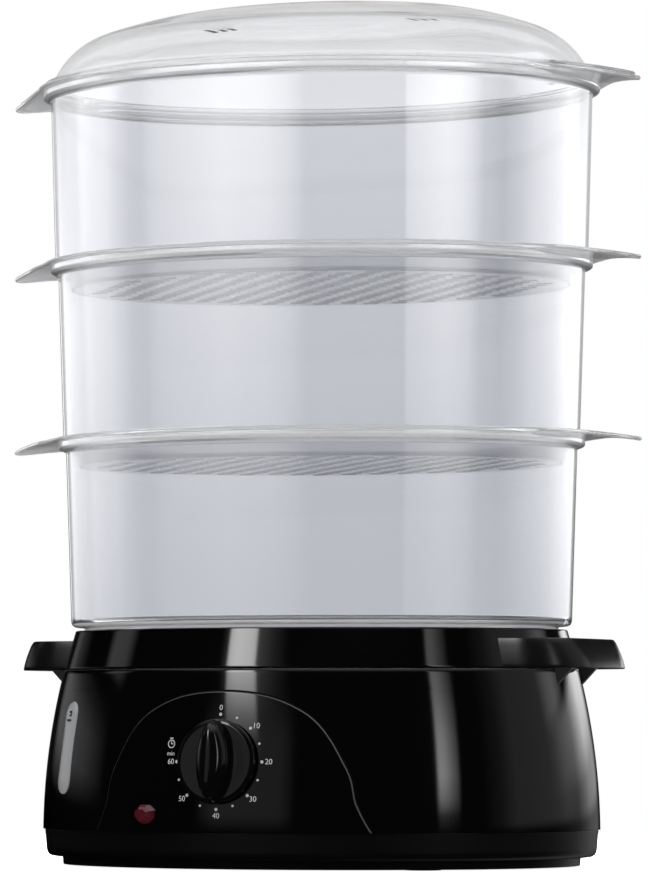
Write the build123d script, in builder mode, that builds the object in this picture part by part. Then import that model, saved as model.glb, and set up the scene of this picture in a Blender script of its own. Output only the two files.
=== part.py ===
"""Three-tier electric food steamer with an oval plan, in millimetres.

Z is up, the front with the dial faces -Y, and the origin lies on the table under the middle of the
oval. Every level of the steamer is an offset of one oval: four arcs whose centres stay where they
are while the radii grow. A level is therefore named by its mean radius, half way between the oval's
half length and its half width, and wall sections are drawn as (mean radius, height).
"""

import os
from math import asin, atan2, cos, degrees, radians, sin, sqrt

from build123d import *

os.makedirs("parts", exist_ok=True)

# The oval family.
OVAL_EXCESS = 11.3  # half length less mean radius
SIDE_CENTRE = 40.0  # centre of each long side's arc, beyond the middle
OVAL_SPREAD = 2 * OVAL_EXCESS
END_CENTRE = OVAL_SPREAD * (2 * SIDE_CENTRE - OVAL_SPREAD) / (2 * (SIDE_CENTRE - OVAL_SPREAD))
END_SHIFT = OVAL_EXCESS - END_CENTRE  # end arc radius less mean radius
SIDE_SHIFT = SIDE_CENTRE - OVAL_EXCESS  # side arc radius less mean radius
JOIN = degrees(atan2(SIDE_CENTRE, END_CENTRE))  # where an end arc hands over to a side arc
ARCS = (
    ((END_CENTRE, 0), END_SHIFT, -JOIN, 2 * JOIN),
    ((0, -SIDE_CENTRE), SIDE_SHIFT, JOIN, 180 - 2 * JOIN),
    ((-END_CENTRE, 0), END_SHIFT, 180 - JOIN, 2 * JOIN),
    ((0, SIDE_CENTRE), SIDE_SHIFT, 180 + JOIN, 180 - 2 * JOIN),
)

# Steam baskets: name, radius at the top of the wall, radius at its bottom, shoulder height, lip height.
BASKETS = (
    ("basket_bottom", 110.2, 107.5, 109.6, 197.2),
    ("basket_middle", 114.0, 111.3, 192.9, 279.3),
    ("basket_top", 117.6, 115.3, 275.0, 360.4),
)
WALL = 1.8
FIT = 0.3  # clearance between pieces that lift off each other
FOOT_INSET = 7.0  # the foot under a basket is this much smaller than its wall
FOOT_DEPTH = 8.8
SHOULDER_CORNER = 3.0
COLLAR_REACH = 3.6  # the collar that takes the next basket, beyond the wall
SEAT_DEPTH = 4.3 + FIT
LIP_REACH = 6.0
LIP_THICKNESS = 1.9
SLOT_LENGTH = 7.0
SLOT_WIDTH = 3.0

# Ears: the pointed grips at both ends of every lip and of the lid.
EAR_TIP = 159.0
EAR_TIP_RADIUS = 8.0
EAR_FLARE_RADIUS = 300.0
EAR_START = 95.0
EAR_BEND = 135.0
EAR_DROOP = 3.0

# Lid.
LID_FLANGE = 120.9
LID_FLANGE_BOTTOM = 360.4 + FIT
LID_FLANGE_TOP = 362.3
LID_SKIRT_BOTTOM = 356.2
LID_WALL = 2.0
DOME_FOOT = 117.0
DOME_TOP = 395.7
DOME_FLAT = 28.0
CROWN_RADIUS = 194.2  # the dome's broad top arc in section
CROWN_TURN = 20.2
BROW_RADIUS = 37.1  # the tighter arc that brings the dome down to the flange
BROW_TURN = 49.6
VENT_X = 52.0

# Drip tray.
TRAY_BOTTOM = 90.0
TRAY_TOP = 108.0
TRAY_FOOT_RADIUS = 110.7
TRAY_TOP_RADIUS = 105.4
TRAY_WALL = 2.2
BOWL_RADIUS = 101.3
BOWL_BOTTOM = 80.0
CHIMNEY_RADIUS = 34.0
CHIMNEY_TOP = 99.5
GRIP_REACH = 143.0
GRIP_HALF_WIDTH = 43.0
GRIP_CORNER = 28.0
GRIP_BOTTOM = 90.0
GRIP_TOP = 103.4
GRIP_SLOPE = 27.0
GRIP_WALL = 2.4
GRIP_RIB_Y = 14.0
GRIP_RIB_WIDTH = 2.4
GRIP_RIB = ((124.6, 83.0), (123.1, 90.4), (118.0, 90.4), (114.0, 102.0), (129.0, 102.0), (135.0, 90.0))

# Base housing and its bottom shell.
HOUSING_BOTTOM = 17.0
HOUSING_TOP = 89.7
HOUSING_FLARE = 308.0  # radius of the wall's bulge in section
HOUSING_WIDEST = 120.3
HOUSING_WIDEST_Z = 14.0
HOUSING_WALL = 2.4
LEDGE_TOP = 84.0
LEDGE_RADIUS = 105.6
BAND_RADIUS = 119.4
FLOOR_BOTTOM = 4.5
FLOOR_TOP = 6.7
PLINTH_RADIUS = 111.0
PLINTH_BOTTOM = 0.6

# Control panel and what sits in it.
PANEL_GAP = 0.25
DIAL_X, DIAL_Z = 0.0, 48.3
KNOB_RADIUS = 19.0
KNOB_SKIRT = 4.2
KNOB_HEIGHT = 12.0
RIDGE_WIDTH = 11.0
SHAFT_RADIUS = 3.0
LAMP_X, LAMP_Z = -37.5, 24.9
LAMP_RADIUS = 4.9

# Water tank and heater.
TANK_FLOOR = 32.0
TANK_WALL = 1.8
TANK_FOOT = 100.4
TANK_TOP = 104.2
TANK_RIM = 86.0
BAY_HALF_WIDTH = 27.0
BAY_BACK = -76.0
BAY_TOP = 75.0
HEATER_RADIUS = 36.2
HEATER_FLANGE = 42.0
HEATER_UNDERSIDE = 28.6
ELEMENT_RADIUS = 30.0
ELEMENT_TUBE = 3.4


def oval(radius):
    """The oval of one level as a face."""
    with BuildSketch() as face:
        with BuildLine():
            for centre, shift, start, span in ARCS:
                CenterArc(centre, radius + shift, start, span)
        make_face()
    return face.sketch


def section(points):
    """A wall section from its corners, each (mean radius, height)."""
    with BuildSketch() as face:
        with BuildLine():
            Polyline(points, close=True)
        make_face()
    return face.sketch


def around(profile):
    """A wall section carried round the oval, arc by arc."""
    with BuildPart() as wall:
        for centre, shift, start, span in ARCS:
            out = (cos(radians(start)), sin(radians(start)), 0)
            plane = Plane(origin=(*centre, 0), x_dir=out, z_dir=(out[1], -out[0], 0))
            with BuildSketch(plane):
                with Locations((shift, 0)):
                    add(profile)
            revolve(axis=Axis((*centre, 0), (0, 0, 1)), revolution_arc=span)
    return wall.part


def eared_oval(radius, tip):
    """The oval of one level with a pointed ear at each end, as a face."""
    end = radius + END_SHIFT
    tip_centre = tip - EAR_TIP_RADIUS
    # The concave flare touches the end arc and the tip from outside.
    reach = tip_centre - END_CENTRE
    to_end = end + EAR_FLARE_RADIUS
    to_tip = EAR_TIP_RADIUS + EAR_FLARE_RADIUS
    across = (reach**2 + to_end**2 - to_tip**2) / (2 * reach)
    flare = (END_CENTRE + across, sqrt(to_end**2 - across**2))
    leave = degrees(atan2(flare[1], across))
    arrive = degrees(atan2(flare[1], flare[0] - tip_centre))
    with BuildSketch() as face:
        with BuildLine():
            CenterArc((0, -SIDE_CENTRE), radius + SIDE_SHIFT, 90, JOIN - 90)
            CenterArc((END_CENTRE, 0), end, JOIN, leave - JOIN)
            CenterArc(flare, EAR_FLARE_RADIUS, 180 + leave, arrive - leave)
            CenterArc((tip_centre, 0), EAR_TIP_RADIUS, arrive, -arrive)
            mirror(about=Plane.XZ)
            mirror(about=Plane.YZ)
        make_face()
    return face.sketch


def ears(radius, inner_radius, tip, top, thickness):
    """Both ears of a lip: the plan outline, outside the wall, cut from a plate that droops to its tips."""
    with BuildPart() as plate:
        with BuildSketch(Plane.XZ):
            with BuildLine():
                Polyline(
                    (EAR_START, top - thickness),
                    (EAR_BEND, top - thickness),
                    (EAR_TIP, top - thickness - EAR_DROOP),
                    (EAR_TIP, top - EAR_DROOP),
                    (EAR_BEND, top),
                    (EAR_START, top),
                    close=True,
                )
            make_face()
            mirror(about=Plane.YZ)
        extrude(amount=radius, both=True)
        with BuildSketch(Plane.XY.offset(top - thickness - EAR_DROOP)):
            add(eared_oval(radius, tip))
        extrude(amount=thickness + EAR_DROOP, mode=Mode.INTERSECT)
        with BuildSketch(Plane.XY.offset(top - thickness - EAR_DROOP)):
            add(oval(inner_radius))
        extrude(amount=thickness + EAR_DROOP, mode=Mode.SUBTRACT)
    return plate.part


# ---------------------------------------------------------------------------------------------
# Steam baskets: clear thin-walled tubs that taper to a stepped foot with a slotted floor. The foot
# of each one drops into the collar of the one below.
# ---------------------------------------------------------------------------------------------
def basket(top_radius, bottom_radius, shoulder, lip):
    foot = bottom_radius - FOOT_INSET
    floor = shoulder - FOOT_DEPTH
    collar = top_radius + COLLAR_REACH
    seat = lip - SEAT_DEPTH
    lip_bottom = lip - LIP_THICKNESS
    inner_bottom = bottom_radius - WALL
    wall_profile = section(
        (
            (foot - 6, floor),
            (foot, floor),
            (foot + 1, shoulder),
            (bottom_radius - SHOULDER_CORNER, shoulder),
            (bottom_radius, shoulder + SHOULDER_CORNER),
            (top_radius, seat - WALL),
            (collar, seat),
            (collar, lip_bottom),
            (top_radius + LIP_REACH, lip_bottom),
            (top_radius + LIP_REACH, lip),
            (collar - WALL, lip),
            (collar - WALL, seat),
            (top_radius - WALL, seat),
            (inner_bottom, shoulder + WALL + 1),
            (foot + 1 - WALL, shoulder + WALL),
            (foot - WALL, floor + WALL),
            (foot - 6, floor + WALL),
        )
    )
    with BuildPart() as tub:
        add(around(wall_profile))
        add(ears(top_radius + LIP_REACH, collar - 1, EAR_TIP, lip, LIP_THICKNESS))
        with BuildSketch(Plane.XY.offset(floor)):
            add(oval(foot - 4))
        extrude(amount=WALL)
        # Steam slots: rows across the floor, shorter towards the ends of the oval.
        with BuildSketch(Plane.XY.offset(floor)):
            for row_y, columns in ((0, 5), (24, 5), (-24, 5), (48, 4), (-48, 4)):
                with Locations((0, row_y)):
                    with GridLocations(30, 1, columns, 1):
                        Rectangle(SLOT_LENGTH, SLOT_WIDTH)
        extrude(amount=WALL, mode=Mode.SUBTRACT)
    return tub.part


for name, top_radius, bottom_radius, shoulder, lip in BASKETS:
    with BuildPart() as steam_basket:
        add(basket(top_radius, bottom_radius, shoulder, lip))
    steam_basket.part.label = name
    export_step(steam_basket.part, f"parts/{name}.step")


# ---------------------------------------------------------------------------------------------
# Lid: a clear dome on an eared flange, with a skirt that drops into the top basket's collar.
# ---------------------------------------------------------------------------------------------
def under(line, place):
    """The point of the inner wall under a place along a line of the dome's outside."""
    spot = line @ place
    tangent = line % place
    return (spot.X + LID_WALL * tangent.Y, spot.Y - LID_WALL * tangent.X)


with BuildSketch() as dome_section:
    with BuildLine():
        crown = JernArc((DOME_FLAT, DOME_TOP), (1, 0), CROWN_RADIUS, -CROWN_TURN)
        brow = JernArc(crown @ 1, crown % 1, BROW_RADIUS, -BROW_TURN)
        Polyline(
            brow @ 1,
            *[under(brow, place) for place in (1, 0.67, 0.33)],
            *[under(crown, place) for place in (1, 0.75, 0.5, 0.25, 0)],
            crown @ 0,
        )
    make_face()

with BuildPart() as lid:
    add(around(dome_section.sketch))
    with BuildSketch(Plane.XY.offset(DOME_TOP)):
        add(oval(DOME_FLAT))
    extrude(amount=-LID_WALL)
    add(
        around(
            section(
                (
                    (DOME_FOOT - LID_WALL - 0.8, LID_FLANGE_TOP),
                    (DOME_FOOT - LID_WALL - 0.8, LID_FLANGE_BOTTOM),
                    (DOME_FOOT - 0.2, LID_SKIRT_BOTTOM),
                    (DOME_FOOT + 1.7, LID_SKIRT_BOTTOM),
                    (DOME_FOOT + 1.7, LID_FLANGE_BOTTOM),
                    (LID_FLANGE, LID_FLANGE_BOTTOM),
                    (LID_FLANGE, LID_FLANGE_TOP),
                )
            )
        )
    )
    add(ears(LID_FLANGE, DOME_FOOT, EAR_TIP - 2.5, LID_FLANGE_TOP, LID_FLANGE_TOP - LID_FLANGE_BOTTOM))
    # Steam vents: three short slots on each side of the crown.
    with BuildSketch(Plane.XY.offset(DOME_TOP - 20)):
        for side in (-1, 1):
            with Locations((side * VENT_X, 0)):
                with GridLocations(5, 1, 3, 1):
                    Rectangle(2.2, 12)
    extrude(amount=30, mode=Mode.SUBTRACT)
lid.part.label = "lid"
export_step(lid.part, "parts/lid.step")


# ---------------------------------------------------------------------------------------------
# Drip tray: the black ring with the two carrying grips. Its bowl hangs inside the water tank and
# catches the juices round a chimney that lets the steam up.
# ---------------------------------------------------------------------------------------------
WEB_TOP = TRAY_BOTTOM + TRAY_WALL
BOWL_FLOOR = BOWL_BOTTOM + 2.0
FIN_TOP = BASKETS[0][3] - FOOT_DEPTH - FIT
TRAY_SLOPE = degrees(atan2(TRAY_FOOT_RADIUS - TRAY_TOP_RADIUS, TRAY_TOP - TRAY_BOTTOM))


def grip_outline(inset):
    """Plan of both grips, a rounded tongue across each end of the tray."""
    with BuildSketch() as face:
        for side in (-1, 1):
            with Locations((side * (GRIP_REACH - inset - 30), 0)):
                RectangleRounded(60, 2 * (GRIP_HALF_WIDTH - inset), GRIP_CORNER - inset)
    return face.sketch


with BuildPart() as grips:
    with BuildSketch(Plane.XY.offset(GRIP_BOTTOM)):
        add(grip_outline(0))
    extrude(amount=GRIP_TOP - GRIP_BOTTOM, taper=GRIP_SLOPE)
    with BuildSketch(Plane.XY.offset(GRIP_BOTTOM)):
        add(grip_outline(GRIP_WALL))
    extrude(amount=GRIP_TOP - GRIP_BOTTOM - GRIP_WALL, taper=GRIP_SLOPE, mode=Mode.SUBTRACT)
    # Two ribs under each grip run down beside the housing.
    with BuildSketch(Plane.XZ.offset(GRIP_RIB_Y)):
        with BuildLine():
            Polyline(*GRIP_RIB, close=True)
        make_face()
        mirror(about=Plane.YZ)
    extrude(amount=GRIP_RIB_WIDTH / 2, both=True)
    mirror(about=Plane.XZ)
    with BuildSketch(Plane.XY.offset(GRIP_BOTTOM)):
        add(oval(TRAY_FOOT_RADIUS - TRAY_WALL / 2))
    extrude(amount=TRAY_TOP - GRIP_BOTTOM, taper=TRAY_SLOPE, mode=Mode.SUBTRACT)

with BuildPart() as drip_tray:
    add(
        around(
            section(
                (
                    (60, BOWL_BOTTOM),
                    (BOWL_RADIUS, BOWL_BOTTOM),
                    (BOWL_RADIUS, TRAY_BOTTOM),
                    (TRAY_FOOT_RADIUS, TRAY_BOTTOM),
                    (TRAY_TOP_RADIUS, TRAY_TOP),
                    (TRAY_TOP_RADIUS - TRAY_WALL, TRAY_TOP),
                    (TRAY_FOOT_RADIUS - TRAY_WALL - 0.6, WEB_TOP),
                    (BOWL_RADIUS - 2, WEB_TOP),
                    (BOWL_RADIUS - 2, BOWL_FLOOR),
                    (60, BOWL_FLOOR),
                )
            )
        )
    )
    add(grips.part)
    with BuildSketch(Plane.XY.offset(BOWL_BOTTOM)):
        add(oval(70))
    extrude(amount=BOWL_FLOOR - BOWL_BOTTOM)
    with BuildSketch(Plane.XY.offset(BOWL_FLOOR)):
        Circle(CHIMNEY_RADIUS)
    extrude(amount=CHIMNEY_TOP - BOWL_FLOOR)
    with BuildSketch(Plane.XY.offset(BOWL_BOTTOM)):
        Circle(CHIMNEY_RADIUS - 2.2)
    extrude(amount=CHIMNEY_TOP - BOWL_BOTTOM, mode=Mode.SUBTRACT)
    # Fins inside the bowl carry the bottom basket's foot.
    with BuildSketch(Plane.XY.offset(BOWL_FLOOR)):
        fin_middle = BOWL_RADIUS - 5.5
        for centre, shift, start, span in ARCS:
            for turn in (start, start + span / 2):
                direction = radians(turn)
                reach = fin_middle + shift
                with Locations(
                    Location((centre[0] + reach * cos(direction), centre[1] + reach * sin(direction)), turn)
                ):
                    Rectangle(9, 2.4)
    extrude(amount=FIN_TOP - BOWL_FLOOR)
drip_tray.part.label = "drip_tray"
export_step(drip_tray.part, "parts/drip_tray.step")


# ---------------------------------------------------------------------------------------------
# Base housing: the glossy black flared wall, open at the front for the control panel, with a sight
# slot at the left and the cord inlet at the back.
# ---------------------------------------------------------------------------------------------
def housing_radius(height):
    """Mean radius of the housing's outside at a height."""
    return HOUSING_WIDEST - HOUSING_FLARE + sqrt(HOUSING_FLARE**2 - (height - HOUSING_WIDEST_Z) ** 2)


FLARE_MIDDLE = (HOUSING_BOTTOM + HOUSING_TOP) / 2


def housing_section(with_ledge):
    """The flared wall, and the ledge that the water tank hangs on."""
    inner_top = housing_radius(HOUSING_TOP) - HOUSING_WALL
    inner_middle = housing_radius(FLARE_MIDDLE) - HOUSING_WALL
    inner_bottom = housing_radius(HOUSING_BOTTOM) - HOUSING_WALL
    with BuildSketch() as face:
        with BuildLine():
            outside = ThreePointArc(
                (housing_radius(HOUSING_BOTTOM), HOUSING_BOTTOM),
                (housing_radius(FLARE_MIDDLE), FLARE_MIDDLE),
                (housing_radius(HOUSING_TOP), HOUSING_TOP),
            )
            if with_ledge:
                Polyline(
                    outside @ 1,
                    (inner_top, HOUSING_TOP),
                    (inner_top + 0.4, LEDGE_TOP),
                    (LEDGE_RADIUS, LEDGE_TOP),
                    (LEDGE_RADIUS, LEDGE_TOP - 2),
                    (inner_top + 1.4, LEDGE_TOP - 6),
                    (inner_middle, FLARE_MIDDLE),
                    (inner_bottom, HOUSING_BOTTOM),
                    outside @ 0,
                )
            else:
                Polyline(
                    outside @ 1,
                    (inner_top, HOUSING_TOP),
                    (inner_top + 1.4, LEDGE_TOP - 6),
                    (inner_middle, FLARE_MIDDLE),
                    (inner_bottom, HOUSING_BOTTOM),
                    outside @ 0,
                )
        make_face()
    return face.sketch


def bell(gap):
    """Outline of the control panel on the front, seen from -Y: a bell standing on the bottom band."""
    with BuildSketch() as face:
        with BuildLine():
            right = Spline(
                (0, 79.8 - gap),
                (38.0 - 0.5 * gap, 70.8 - 0.9 * gap),
                (57.5 - gap, 46.0 - 0.3 * gap),
                (62.5 - gap, 29.0),
                (68.5 - gap, HOUSING_BOTTOM),
                tangents=((1, 0), (0.55, -1)),
            )
            Line(right @ 1, (0, HOUSING_BOTTOM))
            mirror(about=Plane.YZ)
        make_face()
    return face.sketch


def panel_plane(x, z):
    """The plane that lies on the front of the housing at a place seen from -Y, facing out."""
    reach = housing_radius(z) + SIDE_SHIFT
    turn = asin(x / reach)
    lean = asin((z - HOUSING_WIDEST_Z) / HOUSING_FLARE)
    return Plane(
        origin=(x, SIDE_CENTRE - reach * cos(turn), z),
        x_dir=(cos(turn), sin(turn), 0),
        z_dir=(sin(turn) * cos(lean), -cos(turn) * cos(lean), sin(lean)),
    )


DIAL_PLANE = panel_plane(DIAL_X, DIAL_Z)
LAMP_PLANE = panel_plane(LAMP_X, LAMP_Z)
WINDOW_TURN = radians(39.4)
WINDOW_Z = 54.2
WINDOW_REACH = housing_radius(WINDOW_Z) + SIDE_SHIFT
WINDOW_PLANE = Plane(
    origin=(-WINDOW_REACH * sin(WINDOW_TURN), SIDE_CENTRE - WINDOW_REACH * cos(WINDOW_TURN), WINDOW_Z),
    x_dir=(cos(WINDOW_TURN), -sin(WINDOW_TURN), 0),
    z_dir=(-sin(WINDOW_TURN), -cos(WINDOW_TURN), 0),
)
WINDOW_HEIGHT = 42.5
WINDOW_WIDTH = 13.0
GLAND_Z = 26.0
GLAND_PLANE = Plane(origin=(0, 109.1, GLAND_Z), x_dir=(-1, 0, 0), z_dir=(0, 1, 0))
GLAND_RADIUS = 6.0
GLAND_DEPTH = 8.0
BOSS_RADIUS = 4.5
BOSS_TURN = 35.0
BOSS_REACH = 104.4 + END_SHIFT
BOSSES = [
    (
        side_x * (END_CENTRE + BOSS_REACH * cos(radians(BOSS_TURN))),
        side_y * BOSS_REACH * sin(radians(BOSS_TURN)),
        side_x * side_y * BOSS_TURN,
    )
    for side_x in (-1, 1)
    for side_y in (-1, 1)
]

with BuildPart() as housing:
    add(around(housing_section(True)))
    with BuildSketch(Plane.XZ.offset(80)):
        add(bell(0))
    extrude(amount=60, mode=Mode.SUBTRACT)
    with BuildSketch(WINDOW_PLANE):
        SlotOverall(WINDOW_HEIGHT, WINDOW_WIDTH, rotation=90)
    extrude(amount=12, both=True, mode=Mode.SUBTRACT)
    with BuildSketch(GLAND_PLANE):
        Circle(GLAND_RADIUS + 0.2)
    extrude(amount=12, both=True, mode=Mode.SUBTRACT)
    # Screw columns stand clear of the bottom shell and are tied to the wall by a web.
    with BuildSketch(Plane.XY.offset(FLOOR_TOP)):
        with Locations([(x, y) for x, y, turn in BOSSES]):
            Circle(BOSS_RADIUS)
    extrude(amount=22.5)
    with BuildSketch(Plane.XY.offset(HOUSING_BOTTOM)):
        for x, y, turn in BOSSES:
            side = 1 if x > 0 else -1
            web = radians(turn)
            with Locations(Location((x + side * 9 * cos(web), y + side * 9 * sin(web)), turn)):
                Rectangle(10.6, 2.4)
    extrude(amount=12)
    with BuildSketch(Plane.XY.offset(FLOOR_TOP)):
        with Locations([(x, y) for x, y, turn in BOSSES]):
            Circle(1.9)
    extrude(amount=20, mode=Mode.SUBTRACT)
housing.part.label = "housing"
export_step(housing.part, "parts/housing.step")

with BuildPart() as control_panel:
    with BuildSketch(Plane.XZ.offset(80)):
        add(bell(PANEL_GAP))
    extrude(amount=60)
    add(around(housing_section(False)), mode=Mode.INTERSECT)
    with BuildSketch(DIAL_PLANE):
        Circle(SHAFT_RADIUS + 1)
        with Locations((-12, 0), (12, 0)):
            Circle(1.7)
    extrude(amount=8, both=True, mode=Mode.SUBTRACT)
    with BuildSketch(LAMP_PLANE):
        Circle(LAMP_RADIUS + 0.1)
    extrude(amount=8, both=True, mode=Mode.SUBTRACT)
control_panel.part.label = "control_panel"
export_step(control_panel.part, "parts/control_panel.step")

with BuildPart() as water_window:
    with BuildSketch(WINDOW_PLANE):
        SlotOverall(WINDOW_HEIGHT - 0.4, WINDOW_WIDTH - 0.4, rotation=90)
    extrude(amount=12, both=True)
    add(around(housing_section(False)), mode=Mode.INTERSECT)
water_window.part.label = "water_window"
export_step(water_window.part, "parts/water_window.step")

SEAL_THICKNESS = 1.5
seal_top = housing_radius(HOUSING_TOP) - HOUSING_WALL + 1.4
seal_middle = housing_radius(FLARE_MIDDLE) - HOUSING_WALL
seal_bottom = housing_radius(HOUSING_BOTTOM) - HOUSING_WALL
with BuildPart() as window_seal:
    with BuildSketch(WINDOW_PLANE):
        SlotOverall(WINDOW_HEIGHT + 5, WINDOW_WIDTH + 5, rotation=90)
        SlotOverall(WINDOW_HEIGHT - 4, WINDOW_WIDTH - 4, rotation=90, mode=Mode.SUBTRACT)
    extrude(amount=-12)
    add(
        around(
            section(
                (
                    (seal_bottom, HOUSING_BOTTOM),
                    (seal_middle, FLARE_MIDDLE),
                    (seal_top, LEDGE_TOP - 6),
                    (seal_top - SEAL_THICKNESS, LEDGE_TOP - 6),
                    (seal_middle - SEAL_THICKNESS, FLARE_MIDDLE),
                    (seal_bottom - SEAL_THICKNESS, HOUSING_BOTTOM),
                )
            )
        ),
        mode=Mode.INTERSECT,
    )
window_seal.part.label = "window_seal"
export_step(window_seal.part, "parts/window_seal.step")


# ---------------------------------------------------------------------------------------------
# Bottom shell: the satin band under the housing, its rounded underside, the plinth and the floor
# that carries the electrical parts.
# ---------------------------------------------------------------------------------------------
with BuildPart() as bottom_shell:
    add(
        around(
            section(
                (
                    (60, FLOOR_BOTTOM),
                    (PLINTH_RADIUS - 2.4, FLOOR_BOTTOM),
                    (PLINTH_RADIUS - 2.4, PLINTH_BOTTOM),
                    (PLINTH_RADIUS, PLINTH_BOTTOM),
                    (PLINTH_RADIUS + 0.3, FLOOR_BOTTOM),
                    (BAND_RADIUS - 5.6, FLOOR_BOTTOM),
                    (BAND_RADIUS - 1.8, FLOOR_BOTTOM + 2.2),
                    (BAND_RADIUS, FLOOR_BOTTOM + 6.5),
                    (BAND_RADIUS, HOUSING_BOTTOM),
                    (BAND_RADIUS - 2.4, HOUSING_BOTTOM),
                    (BAND_RADIUS - 2.4, FLOOR_TOP),
                    (60, FLOOR_TOP),
                )
            )
        )
    )
    with BuildSketch(Plane.XY.offset(FLOOR_BOTTOM)):
        add(oval(70))
    extrude(amount=FLOOR_TOP - FLOOR_BOTTOM)
    # Screw holes, with a collar sunk round each one from below.
    with BuildSketch(Plane.XY.offset(FLOOR_BOTTOM)):
        with Locations([(x, y) for x, y, turn in BOSSES]):
            Circle(2.1)
        # Cooling slots under the heater.
        with GridLocations(9, 34, 7, 2):
            Rectangle(3, 24)
    extrude(amount=FLOOR_TOP - FLOOR_BOTTOM, mode=Mode.SUBTRACT)
bottom_shell.part.label = "bottom_shell"
export_step(bottom_shell.part, "parts/bottom_shell.step")

with BuildPart() as feet:
    with BuildSketch():
        with GridLocations(150, 104, 2, 2):
            Circle(8)
    extrude(amount=FLOOR_BOTTOM)
feet.part.label = "feet"
export_step(feet.part, "parts/feet.step")

with BuildPart() as housing_screws:
    with BuildSketch(Plane.XY.offset(FLOOR_BOTTOM - 2.2)):
        with Locations([(x, y) for x, y, turn in BOSSES]):
            Circle(3.5)
    extrude(amount=2.2)
    with BuildSketch(Plane.XY.offset(FLOOR_BOTTOM)):
        with Locations([(x, y) for x, y, turn in BOSSES]):
            Circle(1.8)
    extrude(amount=18)
housing_screws.part.label = "housing_screws"
export_step(housing_screws.part, "parts/housing_screws.step")


# ---------------------------------------------------------------------------------------------
# Water tank: a flanged basin hung in the housing, with a dry bay at the front for the timer and a
# round hole in its floor for the heater.
# ---------------------------------------------------------------------------------------------
TANK_FLARE = degrees(atan2(TANK_TOP - TANK_FOOT, LEDGE_TOP - TANK_FLOOR))
TANK_CAVITY_FLOOR = TANK_FLOOR + 2.0

with BuildPart() as tank_cavity:
    with BuildSketch(Plane.XY.offset(TANK_CAVITY_FLOOR)):
        add(oval(TANK_FOOT - TANK_WALL))
    extrude(amount=TANK_RIM - TANK_CAVITY_FLOOR, taper=-TANK_FLARE)
    with BuildSketch(Plane.XY.offset(TANK_CAVITY_FLOOR)):
        with Locations((0, BAY_BACK + 2 - 30)):
            Rectangle(2 * (BAY_HALF_WIDTH + 2), 60)
    extrude(amount=BAY_TOP + 2 - TANK_CAVITY_FLOOR, mode=Mode.SUBTRACT)

with BuildPart() as water_tank:
    with BuildSketch(Plane.XY.offset(TANK_FLOOR)):
        add(oval(TANK_FOOT))
    extrude(amount=LEDGE_TOP - TANK_FLOOR, taper=-TANK_FLARE)
    with BuildSketch(Plane.XY.offset(LEDGE_TOP)):
        add(oval(TANK_TOP + 3.6))
    extrude(amount=TANK_RIM - LEDGE_TOP)
    add(tank_cavity.part, mode=Mode.SUBTRACT)
    with BuildSketch(Plane.XY.offset(TANK_FLOOR)):
        with Locations((0, BAY_BACK - 30)):
            Rectangle(2 * BAY_HALF_WIDTH, 60)
    extrude(amount=BAY_TOP - TANK_FLOOR, mode=Mode.SUBTRACT)
    with BuildSketch(Plane.XY.offset(TANK_FLOOR)):
        Circle(HEATER_RADIUS + 0.3)
    extrude(amount=2, mode=Mode.SUBTRACT)
    # Bosses under the floor take the heater's clamp screws.
    with BuildSketch(Plane.XY.offset(HEATER_UNDERSIDE)):
        with PolarLocations(48, 3, 90):
            Circle(4)
    extrude(amount=TANK_FLOOR - HEATER_UNDERSIDE)
    with BuildSketch(Plane.XY.offset(HEATER_UNDERSIDE)):
        with PolarLocations(48, 3, 90):
            Circle(1.6)
    extrude(amount=4.4, mode=Mode.SUBTRACT)
water_tank.part.label = "water_tank"
export_step(water_tank.part, "parts/water_tank.step")


# ---------------------------------------------------------------------------------------------
# Heater: a stepped metal plate sealed into the tank floor, with a tubular element, a thermostat
# and a thermal fuse under it.
# ---------------------------------------------------------------------------------------------
GASKET_BOTTOM = TANK_FLOOR - 1.6

with BuildPart() as heater_plate:
    with BuildSketch(Plane.XY.offset(HEATER_UNDERSIDE)):
        Circle(HEATER_FLANGE)
    extrude(amount=GASKET_BOTTOM - HEATER_UNDERSIDE)
    with BuildSketch(Plane.XY.offset(GASKET_BOTTOM)):
        Circle(HEATER_RADIUS)
    extrude(amount=TANK_CAVITY_FLOOR + 0.8 - GASKET_BOTTOM)
    # Studs for the thermostat strap.
    with BuildSketch(Plane.XY.offset(HEATER_UNDERSIDE)):
        with Locations((-38, 0), (38, 0)):
            Circle(3)
    extrude(amount=-7.3)
heater_plate.part.label = "heater_plate"
export_step(heater_plate.part, "parts/heater_plate.step")

with BuildPart() as heater_gasket:
    with BuildSketch(Plane.XY.offset(GASKET_BOTTOM)):
        Circle(HEATER_FLANGE)
        Circle(HEATER_RADIUS + 0.3, mode=Mode.SUBTRACT)
    extrude(amount=TANK_FLOOR - GASKET_BOTTOM)
heater_gasket.part.label = "heater_gasket"
export_step(heater_gasket.part, "parts/heater_gasket.step")

ELEMENT_Z = HEATER_UNDERSIDE - ELEMENT_TUBE
with BuildPart() as heater_element:
    with BuildSketch(Plane(origin=(0, ELEMENT_RADIUS, ELEMENT_Z), x_dir=(0, 1, 0), z_dir=(-1, 0, 0))):
        RegularPolygon(ELEMENT_TUBE, 8, major_radius=False, rotation=22.5)
    revolve(axis=Axis.Z, revolution_arc=300)
    # Terminal pins at the two cold ends.
    for turn in (94, 26):
        with BuildSketch(Plane.XY.offset(ELEMENT_Z)):
            with Locations((ELEMENT_RADIUS * cos(radians(turn)), ELEMENT_RADIUS * sin(radians(turn)))):
                Circle(1.6)
        extrude(amount=-11)
heater_element.part.label = "heater_element"
export_step(heater_element.part, "parts/heater_element.step")

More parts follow.
